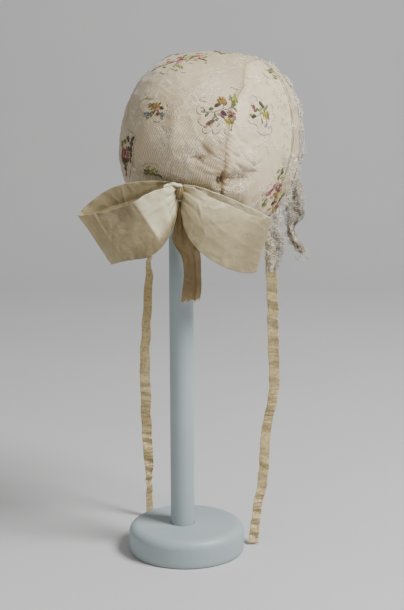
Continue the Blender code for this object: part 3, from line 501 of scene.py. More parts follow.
def cap_lines(table):
    lines = []
    for angle_from, across_from, angle_to, across_to, width, depth in table:
        start = bare_cap(angle_from, share_at(angle_from, across_from * MM))
        end = bare_cap(angle_to, share_at(angle_to, across_to * MM))
        lines.append((start, end, width, depth))
    return lines


FOLD_LINES = cap_lines(CAP_FOLDS)
CREASE_LINES = cap_lines(CAP_CREASES)


def ripples(points, size, seed, count=9):
    """Soft random waves of about that size in metres, between -1 and 1."""
    dice = np.random.default_rng(seed)
    directions = unit(dice.normal(size=(count, 3)))
    lengths = size * dice.uniform(0.7, 1.6, count)
    starts = dice.uniform(0, 2 * math.pi, count)
    waves = np.sin(points @ directions.T * (2 * math.pi / lengths) + starts)
    return waves.sum(-1) / math.sqrt(count) * 0.7


def crumples(points, size, seed):
    """Waves with narrow crests, as in crisp creased silk, between 0 and 1."""
    bent = points + ripples(points, size * 2, seed + 1)[..., None] * size * 0.35
    return 1 - np.minimum(np.abs(ripples(bent, size, seed, 6)) * 1.6, 1)


def seam_at(angle, share):
    """The share at which the seam lies; it wanders on the wearer's right."""
    wander = 0.036 * np.exp(-(((angle - 68) / 9) ** 2)) - 0.012 * np.exp(-(((angle - 40) / 8) ** 2))
    return SEAM_SHARE + np.where(share < 0, wander, 0.0)


def cap_surface(angle, share, lift=0.0):
    """Places on the cap's cloth with its folds, creases, pleats and seams."""
    bare = bare_cap(angle, share)
    angle, share = np.broadcast_arrays(np.asarray(angle, float), np.asarray(share, float))
    depth = pressed(bare, FOLD_LINES) + pressed(bare, CREASE_LINES)
    fade = np.maximum(0, 1 - (angle - NAPE_ANGLE) / 9)
    sideways = np.maximum(0, 1 - share**2)
    pleats = 0.9 * MM * fade * sideways * np.cos(math.pi * 9 * share)
    small_fade = np.maximum(0, 1 - (angle - NAPE_ANGLE) / 14) ** 1.5
    pleats += 0.45 * MM * small_fade * np.cos(math.pi * 23 * share + 2 * np.sin(angle / 3))
    away = (np.abs(share) - seam_at(angle, share)) * SHARE_MM * MM
    pucker = np.exp(-((away / (3.2 * MM)) ** 2))
    along = angle * 1.8 + np.sin(angle * 0.9) * 0.8
    seam = 1.0 * MM * np.exp(-((away / (0.9 * MM)) ** 2))
    seam += 0.22 * MM * pucker * np.sin(along * 1.9 + np.sign(share))
    front = np.exp(-(((FRONT_ANGLE - angle) / 9) ** 2))
    gathers = 0.22 * MM * front * np.sin(share * 150 + np.sin(share * 31) * 2)
    waves = 0.34 * MM * ripples(bare, 17 * MM, 3) + 0.12 * MM * ripples(bare, 6.5 * MM, 4)
    creased = 0.3 * MM * crumples(bare, 17 * MM, 8) + 0.1 * MM * crumples(bare, 6 * MM, 12)
    raised = lift - depth + pleats - seam + gathers + waves + creased
    return bare + raised[..., None] * outward(angle, share)


def turned_cap(points):
    """The cap's points, turned with it on its stand."""
    c, s = math.cos(CAP_YAW), math.sin(CAP_YAW)
    x, y, z = np.moveaxis(points, -1, 0)
    return np.stack([x * c - y * s, x * s + y * c, z], -1)


def band_rear(share, gap=0.0):
    edge = bare_cap(FRONT_ANGLE, share)
    reach = np.hypot(edge[..., 1] - CORNER_Y, edge[..., 2] - CORNER_Z)
    return FRONT_ANGLE - np.degrees(np.minimum(BAND_WIDTH / reach, BAND_TURN) + gap / reach)


def from_knot(places):
    """Places given as across, up and off from the bow's knot in mm, in the bonnet's own axes."""
    across, up, off = np.moveaxis(np.asarray(places, float) * MM, -1, 0)
    x = -across * math.cos(BOW_YAW) - off * math.sin(BOW_YAW)
    y = -across * math.sin(BOW_YAW) + off * math.cos(BOW_YAW)
    return np.stack([x, y, up], -1) + BOW_KNOT


# Meshes
def placed(name, mesh, materials):
    """The mesh as a smooth piece that rides with the object."""
    for material in materials:
        mesh.materials.append(material)
    mesh.shade_smooth()
    obj = bpy.data.objects.new(name, mesh)
    bpy.context.scene.collection.objects.link(obj)
    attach(obj, "root")
    return obj


# A per-point tone: the real tone of cloth and threads, with painted shade and painted highlights on the cap
# and the bow.
def add_tone_and_painted_light(mesh, values):
    painted_shade_and_darkening = mesh.attributes.new("tone_and_painted_light", "FLOAT", "POINT")
    painted_shade_and_darkening.data.foreach_set("value", values)


def make_piece(name, points, faces, uv, materials, tone_and_painted_light=0.5):
    mesh = bpy.data.meshes.new(name)
    mesh.from_pydata(np.asarray(points).reshape(-1, 3).tolist(), [], np.asarray(faces).tolist())
    layer = mesh.uv_layers.new(name="cloth")
    corners = np.empty(len(mesh.loops), int)
    mesh.loops.foreach_get("vertex_index", corners)
    layer.data.foreach_set("uv", np.asarray(uv).reshape(-1, 2)[corners].ravel())
    add_tone_and_painted_light(mesh, np.clip(np.broadcast_to(tone_and_painted_light, len(mesh.vertices)), 0, 1).ravel())
    return placed(name, mesh, materials)


def grid_faces(rows, columns, flip=False):
    index = np.arange(rows * columns).reshape(rows, columns)
    corners = [index[:-1, :-1], index[:-1, 1:], index[1:, 1:], index[1:, :-1]]
    faces = np.stack(corners, -1).reshape(-1, 4)
    return faces[:, ::-1] if flip else faces


def lengths_along(points, axis):
    """Distance in mm along one axis of a grid of points."""
    steps = np.linalg.norm(np.diff(points, axis=axis), axis=-1)
    before = np.zeros_like(np.take(steps, [0], axis=axis))
    return np.concatenate([before, np.cumsum(steps, axis=axis)], axis=axis) / MM


def cloth_measure(points):
    """The grid's own flat measure in mm, along its rows and across them."""
    return np.stack([lengths_along(points, 0), lengths_along(points, 1)], -1)


def grid_shares(rows, columns, last=1):
    """Along a grid's rows from 0 to last, and across them from 0 to 1."""
    at = np.broadcast_to(np.linspace(0, last, rows)[:, None], (rows, columns))
    share = np.broadcast_to(np.linspace(0, 1, columns)[None, :], (rows, columns))
    return at, share


def thicken(obj, thickness, offset, inner=None):
    wall = obj.modifiers.new("cloth", "SOLIDIFY")
    wall.thickness = thickness
    wall.offset = offset
    if inner is not None:
        wall.material_offset = inner


def facing_out(points, faces, middle):
    """The faces, turned so that they look away from the middle."""
    flat = points.reshape(-1, 3)
    a, b, c = flat[faces[:, 0]], flat[faces[:, 1]], flat[faces[:, 2]]
    normals = np.cross(b - a, c - a)
    return faces[:, ::-1] if (normals * (a - middle)).sum() < 0 else faces


def threads(paths, radius, sides):
    """Points and faces of round threads along paths, each an array of points."""
    points, faces, start = [], [], 0
    turn = np.arange(sides) * 2 * math.pi / sides
    for path, thick in zip(paths, np.broadcast_to(radius, len(paths))):
        path = np.asarray(path, float)
        ahead = unit(np.gradient(path, axis=0))
        helper = np.where(np.abs(ahead[:, 2:]) > 0.9, [[1.0, 0, 0]], [[0, 0, 1.0]])
        side = unit(np.cross(ahead, helper))
        other = np.cross(side, ahead)
        ring = side[:, None] * np.cos(turn)[:, None] + other[:, None] * np.sin(turn)[:, None]
        tube = path[:, None] + ring * thick
        points.append(tube.reshape(-1, 3))
        index = np.arange(tube.shape[0] * sides).reshape(-1, sides) + start
        beside = np.roll(index, -1, axis=1)
        quads = np.stack([index[:-1], beside[:-1], beside[1:], index[1:]], -1).reshape(-1, 4)
        faces.extend(quads.tolist())
        faces.append(index[0, ::-1].tolist())
        faces.append(index[-1].tolist())
        start += tube.shape[0] * sides
    return np.concatenate(points), faces


def thread_piece(name, paths, radius, material, sides=5):
    points, faces = threads(paths, radius, sides)
    mesh = bpy.data.meshes.new(name)
    mesh.from_pydata(points.tolist(), [], faces)
    return placed(name, mesh, [material])


# Materials
def start_material(name):
    material = bpy.data.materials.new(name)
    material.use_nodes = True
    tree = material.node_tree
    return material, tree, tree.nodes["Principled BSDF"]


def plug(tree, socket, value):
    if isinstance(value, bpy.types.NodeSocket):
        tree.links.new(value, socket)
    else:
        socket.default_value = value


def set_inputs(shader, values):
    for name, value in values.items():
        shader.inputs[name].default_value = value


def maths(tree, operation, first, second=0.0, third=0.0):
    made = tree.nodes.new("ShaderNodeMath")
    made.operation = operation
    plug(tree, made.inputs[0], first)
    plug(tree, made.inputs[1], second)
    plug(tree, made.inputs[2], third)
    return made.outputs[0]


def blended(tree, factor, first, second, kind="MIX"):
    made = tree.nodes.new("ShaderNodeMix")
    made.data_type = "RGBA"
    made.blend_type = kind
    plug(tree, made.inputs["Factor"], factor)
    plug(tree, made.inputs[6], first if isinstance(first, bpy.types.NodeSocket) else (*first, 1))
    plug(tree, made.inputs[7], second if isinstance(second, bpy.types.NodeSocket) else (*second, 1))
    return made.outputs[2]


def between(tree, value, low, high, to_low=0.0, to_high=1.0):
    made = tree.nodes.new("ShaderNodeMapRange")
    plug(tree, made.inputs["Value"], value)
    set_inputs(made, {"From Min": low, "From Max": high, "To Min": to_low, "To Max": to_high})
    return made.outputs["Result"]


def noise(tree, place, scale, detail=3.0, roughness=0.5, distortion=0.0):
    made = tree.nodes.new("ShaderNodeTexNoise")
    plug(tree, made.inputs["Vector"], place)
    values = {"Scale": scale, "Detail": detail, "Roughness": roughness, "Distortion": distortion}
    set_inputs(made, values)
    return made.outputs["Fac"]


def stretched(tree, place, scale, turn=0.0):
    made = tree.nodes.new("ShaderNodeMapping")
    plug(tree, made.inputs["Vector"], place)
    made.inputs["Scale"].default_value = scale
    made.inputs["Rotation"].default_value = (0, 0, turn)
    return made.outputs["Vector"]


def cloth_place(tree):
    """Places on the cloth in mm, from its own flat measure."""
    made = tree.nodes.new("ShaderNodeUVMap")
    made.uv_map = "cloth"
    return made.outputs["UV"]


def tone_and_painted_light_of(tree):
    made = tree.nodes.new("ShaderNodeAttribute")
    made.attribute_name = "tone_and_painted_light"
    return made.outputs["Fac"]


def body_place(tree):
    return tree.nodes.new("ShaderNodeTexCoord").outputs["Object"]


def split(tree, place):
    made = tree.nodes.new("ShaderNodeSeparateXYZ")
    plug(tree, made.inputs[0], place)
    return made.outputs


def stripes(tree, place, turn, pitch, wobble=None):
    """Even stripes of that pitch in mm, from 0 to 1."""
    axes = split(tree, place)
    along = maths(tree, "MULTIPLY", axes[1], math.sin(turn))
    along = maths(tree, "MULTIPLY_ADD", axes[0], math.cos(turn), along)
    if wobble is not None:
        along = maths(tree, "ADD", along, wobble)
    wave = maths(tree, "SINE", maths(tree, "MULTIPLY", along, 2 * math.pi / pitch))
    return maths(tree, "MULTIPLY_ADD", wave, 0.5, 0.5)


def bump(tree, shader, height, distance, strength=1.0):
    made = tree.nodes.new("ShaderNodeBump")
    made.inputs["Strength"].default_value = strength
    made.inputs["Distance"].default_value = distance
    plug(tree, made.inputs["Height"], height)
    tree.links.new(made.outputs["Normal"], shader.inputs["Normal"])


def figured_mask(tree, place):
    """Self-coloured woven curls and buds, from 0 to 1."""
    bent = noise(tree, stretched(tree, place, (0.16, 0.16, 0.16)), 1.0, 2.0, 0.5, 1.6)
    band = maths(tree, "ABSOLUTE", maths(tree, "SUBTRACT", bent, 0.5))
    curl = between(tree, band, 0.014, 0.05, 1.0, 0.0)
    patch = noise(tree, stretched(tree, place, (0.045, 0.045, 0.045)), 1.0, 1.0)
    return maths(tree, "MULTIPLY", curl, between(tree, patch, 0.45, 0.52))


def silk_material(name, base, aged, rib_turn, figured, ribbed=1.0):
    material, tree, shader = start_material(name)
    place = cloth_place(tree)
    body = body_place(tree)
    wobble = between(tree, noise(tree, place, 0.12, 2.0), 0.3, 0.7, -0.5, 0.5)
    rib = stripes(tree, place, rib_turn, RIB_PITCH, wobble)
    slub = noise(tree, place, 1.1, 2.0, 0.6)
    weave = maths(tree, "MULTIPLY", rib, between(tree, slub, 0.3, 0.7, 0.55, 1.0))
    faint = noise(tree, body, 60, 4.0, 0.6)
    broad = noise(tree, body, 19, 3.0, 0.55)
    tone_and_painted_light = tone_and_painted_light_of(tree)
    low = between(tree, split(tree, body)[2], 0.285, 0.235)
    age = maths(tree, "MULTIPLY_ADD", low, 0.45, between(tree, broad, 0.42, 0.72, 0.0, 0.5))
    colour = blended(tree, age, base, aged)
    colour = blended(tree, between(tree, faint, 0.5, 0.75, 0.0, 0.4), colour, aged)
    # Patches browned by the tone attribute: painted shade in the cap's folds and creases, and darker along
    # its seams and nape edge.
    brown = (aged[0] * 0.55, aged[1] * 0.46, aged[2] * 0.34)
    patchy = maths(tree, "MULTIPLY", tone_and_painted_light, between(tree, faint, 0.3, 0.7, 0.5, 1.1))
    colour = blended(tree, patchy, colour, brown)
    shade = between(tree, weave, 0.0, 0.8, 1 - 0.36 * ribbed, 1 + 0.1 * ribbed)
    grey = tree.nodes.new("ShaderNodeCombineColor")
    for channel in range(3):
        plug(tree, grey.inputs[channel], shade)
    colour = blended(tree, 1.0, colour, grey.outputs[0], "MULTIPLY")
    mask = maths(tree, "MULTIPLY", figured_mask(tree, place), figured)
    colour = blended(tree, maths(tree, "MULTIPLY", mask, 0.7), colour, (0.92, 0.84, 0.70))
    plug(tree, shader.inputs["Base Color"], colour)
    rough = between(tree, broad, 0.3, 0.7, 0.38, 0.52)
    plug(tree, shader.inputs["Roughness"], maths(tree, "MULTIPLY_ADD", mask, -0.08, rough))
    sheen = {"Sheen Weight": 0.2, "Sheen Roughness": 0.4, "Specular IOR Level": 0.45}
    set_inputs(shader, sheen)
    height = maths(tree, "MULTIPLY_ADD", weave, 0.7 * ribbed, maths(tree, "MULTIPLY", mask, 1.6))
    height = maths(tree, "MULTIPLY_ADD", noise(tree, place, 0.7, 4.0, 0.6), 0.9, height)
    bump(tree, shader, height, 0.2 * MM)
    return material


def ribbon_material(name, base, aged, rough=0.36, spotted=120):
    material, tree, shader = start_material(name)
    place = cloth_place(tree)
    body = body_place(tree)
    streaks = noise(tree, stretched(tree, place, (0.06, 1.6, 1.0)), 1.0, 4.0, 0.6)
    fine = stripes(tree, place, math.pi / 2, 0.5, between(tree, streaks, 0.3, 0.7, -0.2, 0.2))
    broad = noise(tree, body, 30, 4.0, 0.6)
    spots = noise(tree, body, spotted, 2.0, 0.5)
    colour = blended(tree, between(tree, broad, 0.35, 0.7, 0.0, 0.8), base, aged)
    colour = blended(tree, between(tree, streaks, 0.35, 0.7, 0.0, 0.55), colour, aged)
    # Below 0.5 the tone attribute mixes in a paler colour, which gives the bow's painted highlights; above
    # 0.5 a darker brown, which gives painted shade in creases and on the left loop, and darker seams and nape
    # edge on the lining.
    tone_and_painted_light = tone_and_painted_light_of(tree)
    paler_and_painted_highlight = between(tree, tone_and_painted_light, 0.5, 0.0)
    painted_shade_and_darkening = between(tree, tone_and_painted_light, 0.5, 1.0)
    pale = tuple(min(part * gain, 0.86) for part, gain in zip(base, (2.0, 2.12, 2.35)))
    colour = blended(tree, paler_and_painted_highlight, colour, pale)
    colour = blended(tree, painted_shade_and_darkening, colour, (aged[0] * 0.5, aged[1] * 0.49, aged[2] * 0.48))
    cloud = noise(tree, body, 95, 5.0, 0.72)
    lighter = tuple(min(part * 1.7, 0.9) for part in base)
    colour = blended(tree, between(tree, cloud, 0.5, 0.72, 0.0, 0.2), colour, lighter)
    dark = (aged[0] * 0.72, aged[1] * 0.66, aged[2] * 0.52)
    colour = blended(tree, between(tree, cloud, 0.5, 0.3, 0.0, 0.24), colour, dark)
    few = 0.66 if spotted < 300 else 0.5
    colour = blended(tree, between(tree, spots, few, few + 0.12, 0.0, 0.55), colour, dark)
    plug(tree, shader.inputs["Base Color"], colour)
    plug(tree, shader.inputs["Roughness"], between(tree, broad, 0.3, 0.7, rough - 0.05, rough + 0.12))
    set_inputs(shader, {"Sheen Weight": 0.2, "Sheen Roughness": 0.35, "Subsurface Weight": 0.15})
    set_inputs(shader, {"Subsurface Radius": (0.004, 0.003, 0.0018), "Subsurface Scale": 1.0})
    relief = maths(tree, "MULTIPLY_ADD", fine, 0.25, maths(tree, "MULTIPLY", streaks, 0.8))
    crinkle = noise(tree, body, 170, 5.0, 0.62)
    bump(tree, shader, maths(tree, "MULTIPLY_ADD", crinkle, 2.4, relief), 0.16 * MM)
    return material


def thread_material(name, base, dark_share=0.55):
    material, tree, shader = start_material(name)
    body = body_place(tree)
    tangled = noise(tree, body, 900, 2.0, 0.6)
    broad = noise(tree, body, 160, 2.0, 0.5)
    dark = tuple(part * dark_share for part in base)
    colour = blended(tree, between(tree, tangled, 0.35, 0.65), dark, base)
    pale = tuple(min(part * 1.25 + 0.03, 0.9) for part in base)
    colour = blended(tree, between(tree, broad, 0.5, 0.7, 0.0, 0.6), colour, pale)
    colour = blended(tree, tone_and_painted_light_of(tree), colour, tuple(part * 0.35 for part in base))
    plug(tree, shader.inputs["Base Color"], colour)
    plug(tree, shader.inputs["Roughness"], between(tree, tangled, 0.3, 0.7, 0.45, 0.62))
    shader.inputs["Sheen Weight"].default_value = 0.25
    bump(tree, shader, tangled, 0.1 * MM)
    return material


def paint_material():
    material, tree, shader = start_material("painted_wood")
    body = body_place(tree)
    broad = noise(tree, body, 14, 3.0, 0.5)
    brushed = noise(tree, stretched(tree, body, (420, 420, 12)), 1.0, 3.0, 0.55)
    specks = noise(tree, body, 480, 2.0, 0.6)
    colour = blended(tree, between(tree, broad, 0.35, 0.7), (0.375, 0.445, 0.455), (0.335, 0.395, 0.41))
    colour = blended(tree, between(tree, brushed, 0.5, 0.8, 0.0, 0.22), colour, (0.30, 0.36, 0.38))
    colour = blended(tree, between(tree, specks, 0.7, 0.8, 0.0, 0.35), colour, (0.27, 0.30, 0.31))
    low = between(tree, split(tree, body)[2], 0.0035, 0.0)
    colour = blended(tree, maths(tree, "MULTIPLY", low, 0.5), colour, (0.2, 0.21, 0.2))
    plug(tree, shader.inputs["Base Color"], colour)
    plug(tree, shader.inputs["Roughness"], between(tree, broad, 0.3, 0.7, 0.42, 0.55))
    relief = maths(tree, "MULTIPLY_ADD", specks, 0.25, brushed)
    bump(tree, shader, relief, 0.07 * MM)
    return material


CREAM = (0.66, 0.545, 0.36)
SIDE_CREAM = (0.79, 0.665, 0.455)
CROWN_RIB = math.radians(25)
SIDE_RIB = math.radians(62)
SILK = silk_material("figured_silk", CREAM, (0.46, 0.335, 0.185), CROWN_RIB, 0.55)
SIDE_SILK = silk_material("figured_silk_side", SIDE_CREAM, (0.57, 0.43, 0.25), SIDE_RIB, 1.15, 0.4)
BAND_SILK = silk_material("band_silk", CREAM, (0.47, 0.35, 0.19), math.pi / 2, 1.4)
LINING = ribbon_material("lining", (0.40, 0.315, 0.20), (0.44, 0.33, 0.20), 0.6)
RIBBON = ribbon_material("ribbon_silk", (0.45, 0.37, 0.215), (0.35, 0.285, 0.155))
# A darker, aged copy of the ribbon silk for the bow's tail and knot, with painted shade where they lie under
# and between the loops.
AGED_SHADED_RIBBON = ribbon_material("ribbon_silk_aged_and_shaded", (0.26, 0.18, 0.075), (0.17, 0.11, 0.04))
TIE_SILK = ribbon_material("tie_silk", (0.62, 0.485, 0.26), (0.33, 0.235, 0.10), 0.36, 620)
LACE_THREAD = thread_material("lace_thread", (0.58, 0.485, 0.345), 0.6)
LACE_CORD = thread_material("lace_cord", (0.86, 0.78, 0.62), 0.65)
SELVEDGE = thread_material("selvedge_thread", (0.42, 0.48, 0.20), 0.7)
SEWING = thread_material("sewing_thread", (0.62, 0.52, 0.36), 0.7)
PAINT = paint_material()
THREADS = {name: thread_material("woven_" + name, colour) for name, colour in THREAD_COLOURS.items()}


# Cap
def cap_panel(name, node, from_share, to_share, columns, rows, material):
    share = np.linspace(from_share, to_share, columns + 1)[:, None]
    first = band_rear(share[:, 0], -1.2 * MM)[:, None]
    angle = first + (NAPE_ANGLE - first) * np.linspace(0, 1, rows + 1)[None, :]
    share = np.broadcast_to(share, angle.shape)
    near = np.clip(1 - np.abs(np.abs(share) - SEAM_SHARE) / 0.3, 0, 1)
    share = share + np.sign(share) * near * (seam_at(angle, share) - SEAM_SHARE)
    points = cap_surface(angle, share)
    bare = bare_cap(angle, share)
    # The panel's tone: painted shade in the folds and creases, darker along the seams (more so low down), and
    # darker along the nape edge.
    deep = (pressed(bare, FOLD_LINES) + pressed(bare, CREASE_LINES)) / MM
    away = (np.abs(share) - seam_at(angle, share)) * SHARE_MM
    low = np.clip((62 - angle) / 30, 0.25, 1)
    tone_and_painted_light = np.clip(deep - 0.5, 0, 2) * 0.5 + 0.75 * low * np.exp(-((away / 1.1) ** 2))
    tone_and_painted_light += 0.35 * np.exp(-(((angle - NAPE_ANGLE) / 5) ** 2))
    across = lengths_along(bare, 0)
    if node == "crown":
        middle = columns // 2
        along = lengths_along(bare, 1)[middle]
        uv = np.stack([across - across[middle], np.broadcast_to(-along, across.shape)], -1)
    else:
        corner = np.abs(share[:, 0]).argmax()
        reach = np.abs(across - across[corner])
        uv = np.stack([reach * np.cos(np.radians(angle)), reach * np.sin(np.radians(angle))], -1)
    points = turned_cap(points)
    faces = facing_out(points, grid_faces(*angle.shape), turned_cap(CAP_MIDDLE))
    panel = make_piece(name, points, faces, uv, (material, LINING), tone_and_painted_light.ravel())
    thicken(panel, PANEL_CLOTH, -1, inner=1)
    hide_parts(node)
    return panel


SIDE_GRIDS = {
    "right": {"columns": 150, "rows": 170, "material": SIDE_SILK},
    "left": {"columns": 130, "rows": 150, "material": SIDE_SILK},
}
CROWN = cap_panel("crown_silk", "crown", -SEAM_SHARE, SEAM_SHARE, columns=170, rows=200, material=SILK)
SIDE_RIGHT = cap_panel("side_right_silk", "side_right", -1, -SEAM_SHARE, **SIDE_GRIDS["right"])
SIDE_LEFT = cap_panel("side_left_silk", "side_left", SEAM_SHARE, 1, **SIDE_GRIDS["left"])


OUTER_BAND = 30  # of the band's 57 columns, those that face outward


def front_band():
    """The band, rolled over the edge of the face opening to the inside."""
    share = np.linspace(-1, 1, 481)[:, None]
    rear = band_rear(share[:, 0])[:, None]
    # each step: the share of the band's width from its rear edge, and the height over the panels in mm
    profile = np.array(
        [
            (0.0, -0.15), (0.015, 0.35), (0.06, 0.62), (0.2, 0.55), (0.4, 0.6), (0.6, 0.62), (0.8, 0.6),
            (0.93, 0.5), (1.02, 0.15), (1.06, -0.55), (1.03, -1.35), (0.93, -1.8), (0.7, -1.9),
            (0.35, -1.9), (0.05, -1.8),
        ]
    )
    steps = smooth(np.linspace(0, len(profile) - 1, 57), np.arange(len(profile)), profile)
    angle = rear + (FRONT_ANGLE - rear) * steps[None, :, 0]
    lift = np.broadcast_to(steps[None, :, 1] * MM, angle.shape).copy()
    share = np.broadcast_to(share, angle.shape)
    ruffled = 0.16 * MM * np.sin(share * 170 + 3 * np.sin(share * 23)) * (steps[None, :, 1] > 0)
    capped = np.minimum(angle, FRONT_ANGLE)
    points = cap_surface(capped, share, lift + ruffled)
    edge = bare_cap(FRONT_ANGLE, share)
    ahead = unit(edge - bare_cap(FRONT_ANGLE - 1.5, share))
    reach = np.hypot(edge[..., 1] - CORNER_Y, edge[..., 2] - CORNER_Z)
    points = points + ahead * (np.radians(angle - capped) * reach)[..., None]
    uv = cloth_measure(points)
    points = turned_cap(points)
    outer = grid_faces(angle.shape[0], OUTER_BAND)
    flip = not np.array_equal(facing_out(points[:, :OUTER_BAND], outer, turned_cap(CAP_MIDDLE)), outer)
    band = make_piece("band_silk", points, grid_faces(*angle.shape, flip), uv, (BAND_SILK,), 0.0)
    thicken(band, BAND_CLOTH, -1)
    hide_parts("front_band")
    return band


BAND = front_band()


def on_cap(angle, share, lift):
    return turned_cap(cap_surface(angle, share, lift))


def edge_threads():
    """The green selvedge line along the band, and the small stitches that hold the band down."""
    share = np.linspace(-0.93, 0.93, 700)
    wander = 0.35 * np.sin(share * 40) + 0.2 * np.sin(share * 97)
    line = on_cap(band_rear(share) + 1.3 + wander * 0.4, share, np.full(len(share), 0.72 * MM))
    selvedge = thread_piece("selvedge_line", [line], 0.24 * MM, SELVEDGE)
    stitches = []
    for middle in np.linspace(-0.95, 0.95, 130):
        at = middle + np.linspace(-0.0028, 0.0028, 5)
        rise = (0.42 + 0.28 * np.sin(np.linspace(0, math.pi, 5))) * MM
        stitches.append(on_cap(band_rear(at) + 0.45, at, rise))
    for middle in np.linspace(-0.93, 0.93, 120):
        at = middle + np.linspace(-0.003, 0.003, 5)
        rise = (0.3 + 0.35 * np.sin(np.linspace(0, math.pi, 5))) * MM
        stitches.append(on_cap(np.full(5, NAPE_ANGLE + 2.2), at, rise + 0.35 * MM))
    sewn = thread_piece("cap_stitches", stitches, 0.13 * MM, SEWING, 4)
    return [selvedge, sewn]


EDGE_THREADS = edge_threads()


def nape_binding():
    """A strip of the silk, folded over the neck edge."""
    share = np.linspace(-0.995, 0.995, 420)[:, None]
    turn = np.linspace(0.06, 2 * math.pi - 0.06, 25)[None, :]
    edge = cap_surface(np.full(share.shape, NAPE_ANGLE), share)[:, 0]
    out = outward(np.full(share.shape, NAPE_ANGLE), share)[:, 0]
    down = unit(bare_cap(NAPE_ANGLE, share[:, 0]) - bare_cap(NAPE_ANGLE + 2, share[:, 0]))
    middle = edge - out * 0.45 * MM - down * 1.0 * MM
    swell = 1 + 0.1 * np.sin(share * 210) + 0.08 * np.sin(share * 77)
    wide = np.cos(turn) * 2.0 * MM * swell
    high = np.sign(np.sin(turn)) * np.abs(np.sin(turn)) ** 0.8 * 0.95 * MM * swell
    points = turned_cap(middle[:, None] + out[:, None] * high[..., None] - down[:, None] * wide[..., None])
    uv = cloth_measure(points)
    faces = grid_faces(420, 25)
    strip = make_piece("nape_binding", points, faces, uv, (BAND_SILK,), 0.3)
    return strip


NAPE_BINDING = nape_binding()


# Woven sprays
def spray_place(spray, x, y):
    """Angle and share of places x and y mm from the spray's middle, as seen from outside."""
    turn = math.radians(spray.turn)
    right = x * math.cos(turn) - y * math.sin(turn)
    up = x * math.sin(turn) + y * math.cos(turn)
    here = bare_cap(spray.angle, spray.share)
    per_share = np.linalg.norm(bare_cap(spray.angle, spray.share + 0.01) - here) / 0.01
    per_degree = np.linalg.norm(bare_cap(spray.angle + 0.5, spray.share) - here) / 0.5
    angle = np.clip(spray.angle + up * MM / per_degree, NAPE_ANGLE + 0.5, FRONT_ANGLE - 1)
    share = np.clip(spray.share - right * MM / per_share, -0.97, 0.97)
    return angle, share


def leaf_threads(x, y, length, width, turn):
    """Long threads of a leaf and the short ones that cross them: right, up, lift, radius and shade."""
    made = []
    turn = math.radians(turn)
    count = max(2, round(width / 0.46))
    for side in np.linspace(-1, 1, count):
        t = np.linspace(random.uniform(0.0, 0.12), random.uniform(0.88, 1.0), 8)
        along = (t - 0.5) * length
        half = width / 2 * np.sin(math.pi * np.clip(t, 0.02, 0.98) ** 0.85) ** 0.6
        across = half * side * 0.86 + 0.1 * width * np.sin(math.pi * t)
        lift = 0.10 + 0.2 * (1 - side**2) * np.sin(math.pi * t) + random.uniform(0, 0.08)
        made.append((along, across, lift, 0.27, random.choice([0.0, 0.1, 0.35, 0.7])))
    for t in np.arange(0.28, 0.8, 0.62 / max(length, 1)) if width > 1.4 else ():
        side = np.linspace(-0.7, 0.7, 8) * random.uniform(0.5, 1)
        half = width / 2 * math.sin(math.pi * t**0.85) ** 0.6
        lift = 0.42 + 0.08 * (1 - side**2)
        along, across = 0 * side + (t - 0.5) * length, half * side + 0.1 * width
        made.append((along, across, lift, 0.1, random.choice([0.0, 0.9])))
    c, s = math.cos(turn), math.sin(turn)
    return [(x + a * c - b * s, y + a * s + b * c, lift, size, dark) for a, b, lift, size, dark in made]


def woven_sprays():
    names = list(THREAD_COLOURS)
    points, faces, which, shades, start = [], [], [], [], 0

    def weave(colour, spray, right, up, lift, size, shade):
        nonlocal start
        angle, share = spray_place(spray, right, up)
        base = np.where(angle > band_rear(share), 0.6 * MM, 0.0)
        tube, quads = threads([on_cap(angle, share, base + lift * MM)], size * MM, 4)
        points.append(tube)
        faces.extend([[corner + start for corner in quad] for quad in quads])
        which.extend([names.index(colour)] * len(quads))
        shades.extend([shade] * len(tube))
        start += len(tube)

    for spray in SPRAYS:
        for colour, leaves in spray.leaves.items():
            for leaf in leaves:
                for right, up, lift, size, shade in leaf_threads(*leaf):
                    weave(colour, spray, right, up, lift, size, shade)
        lines = [(colour, line, width * 0.5) for colour, width, line in spray.stems]
        lines += [("outline", line, 0.26) for line in spray.outline]
        for colour, line, size in lines:
            count = len(line)
            fine = smooth(np.linspace(0, count - 1, count * 6), np.arange(count), line)
            weave(colour, spray, fine[:, 0], fine[:, 1], 0.1, size, 0.2)
    for number in range(90):
        share = -0.34 - 0.46 * number / 90 + random.uniform(-0.01, 0.01)
        middle = Spray(float(band_rear(np.array(share))) - random.uniform(1.5, 9), share, 0, {}, [], [])
        t = np.linspace(0, random.uniform(3, 7), 16)
        swirl = random.uniform(0.5, 1.5) * (1 - t / 9)
        lean = random.uniform(0, 6)
        weave("scroll", middle, swirl * np.cos(t + lean) * 1.3, swirl * np.sin(t + lean), 0.12, 0.19, 0.0)
    mesh = bpy.data.meshes.new("woven_sprays")
    mesh.from_pydata(np.concatenate(points).tolist(), [], faces)
    obj = placed("woven_sprays", mesh, [THREADS[name] for name in names])
    mesh.polygons.foreach_set("material_index", which)
    add_tone_and_painted_light(mesh, shades)
    return obj


WOVEN_SPRAYS = woven_sprays()


# Bow
def ribbon_surface(stretches, at, share):
    places = np.arange(len(stretches))
    tops = from_knot([top for top, bottom, belly in stretches])
    bottoms = from_knot([bottom for top, bottom, belly in stretches])
    bellies = np.array([[belly] for top, bottom, belly in stretches]) * MM
    top = smooth(at, places, tops)
    bottom = smooth(at, places, bottoms)
    belly = smooth(at, places, bellies)
    middles = (tops + bottoms) / 2
    before = smooth(np.maximum(at - 0.05, 0), places, middles)
    after = smooth(np.minimum(at + 0.05, len(stretches) - 1), places, middles)
    proud = unit(np.cross(bottom - top, after - before))
    share = np.asarray(share)[..., None]
    return top + (bottom - top) * share + proud * belly * np.sin(math.pi * share)


def grid_normals(points):
    return unit(np.cross(np.gradient(points, axis=1), np.gradient(points, axis=0)))


def inside(values, low, high, soft):
    """1 where the values lie between low and high, fading to 0 over soft."""
    return np.clip((values - low) / soft, 0, 1) * np.clip((high - values) / soft, 0, 1)


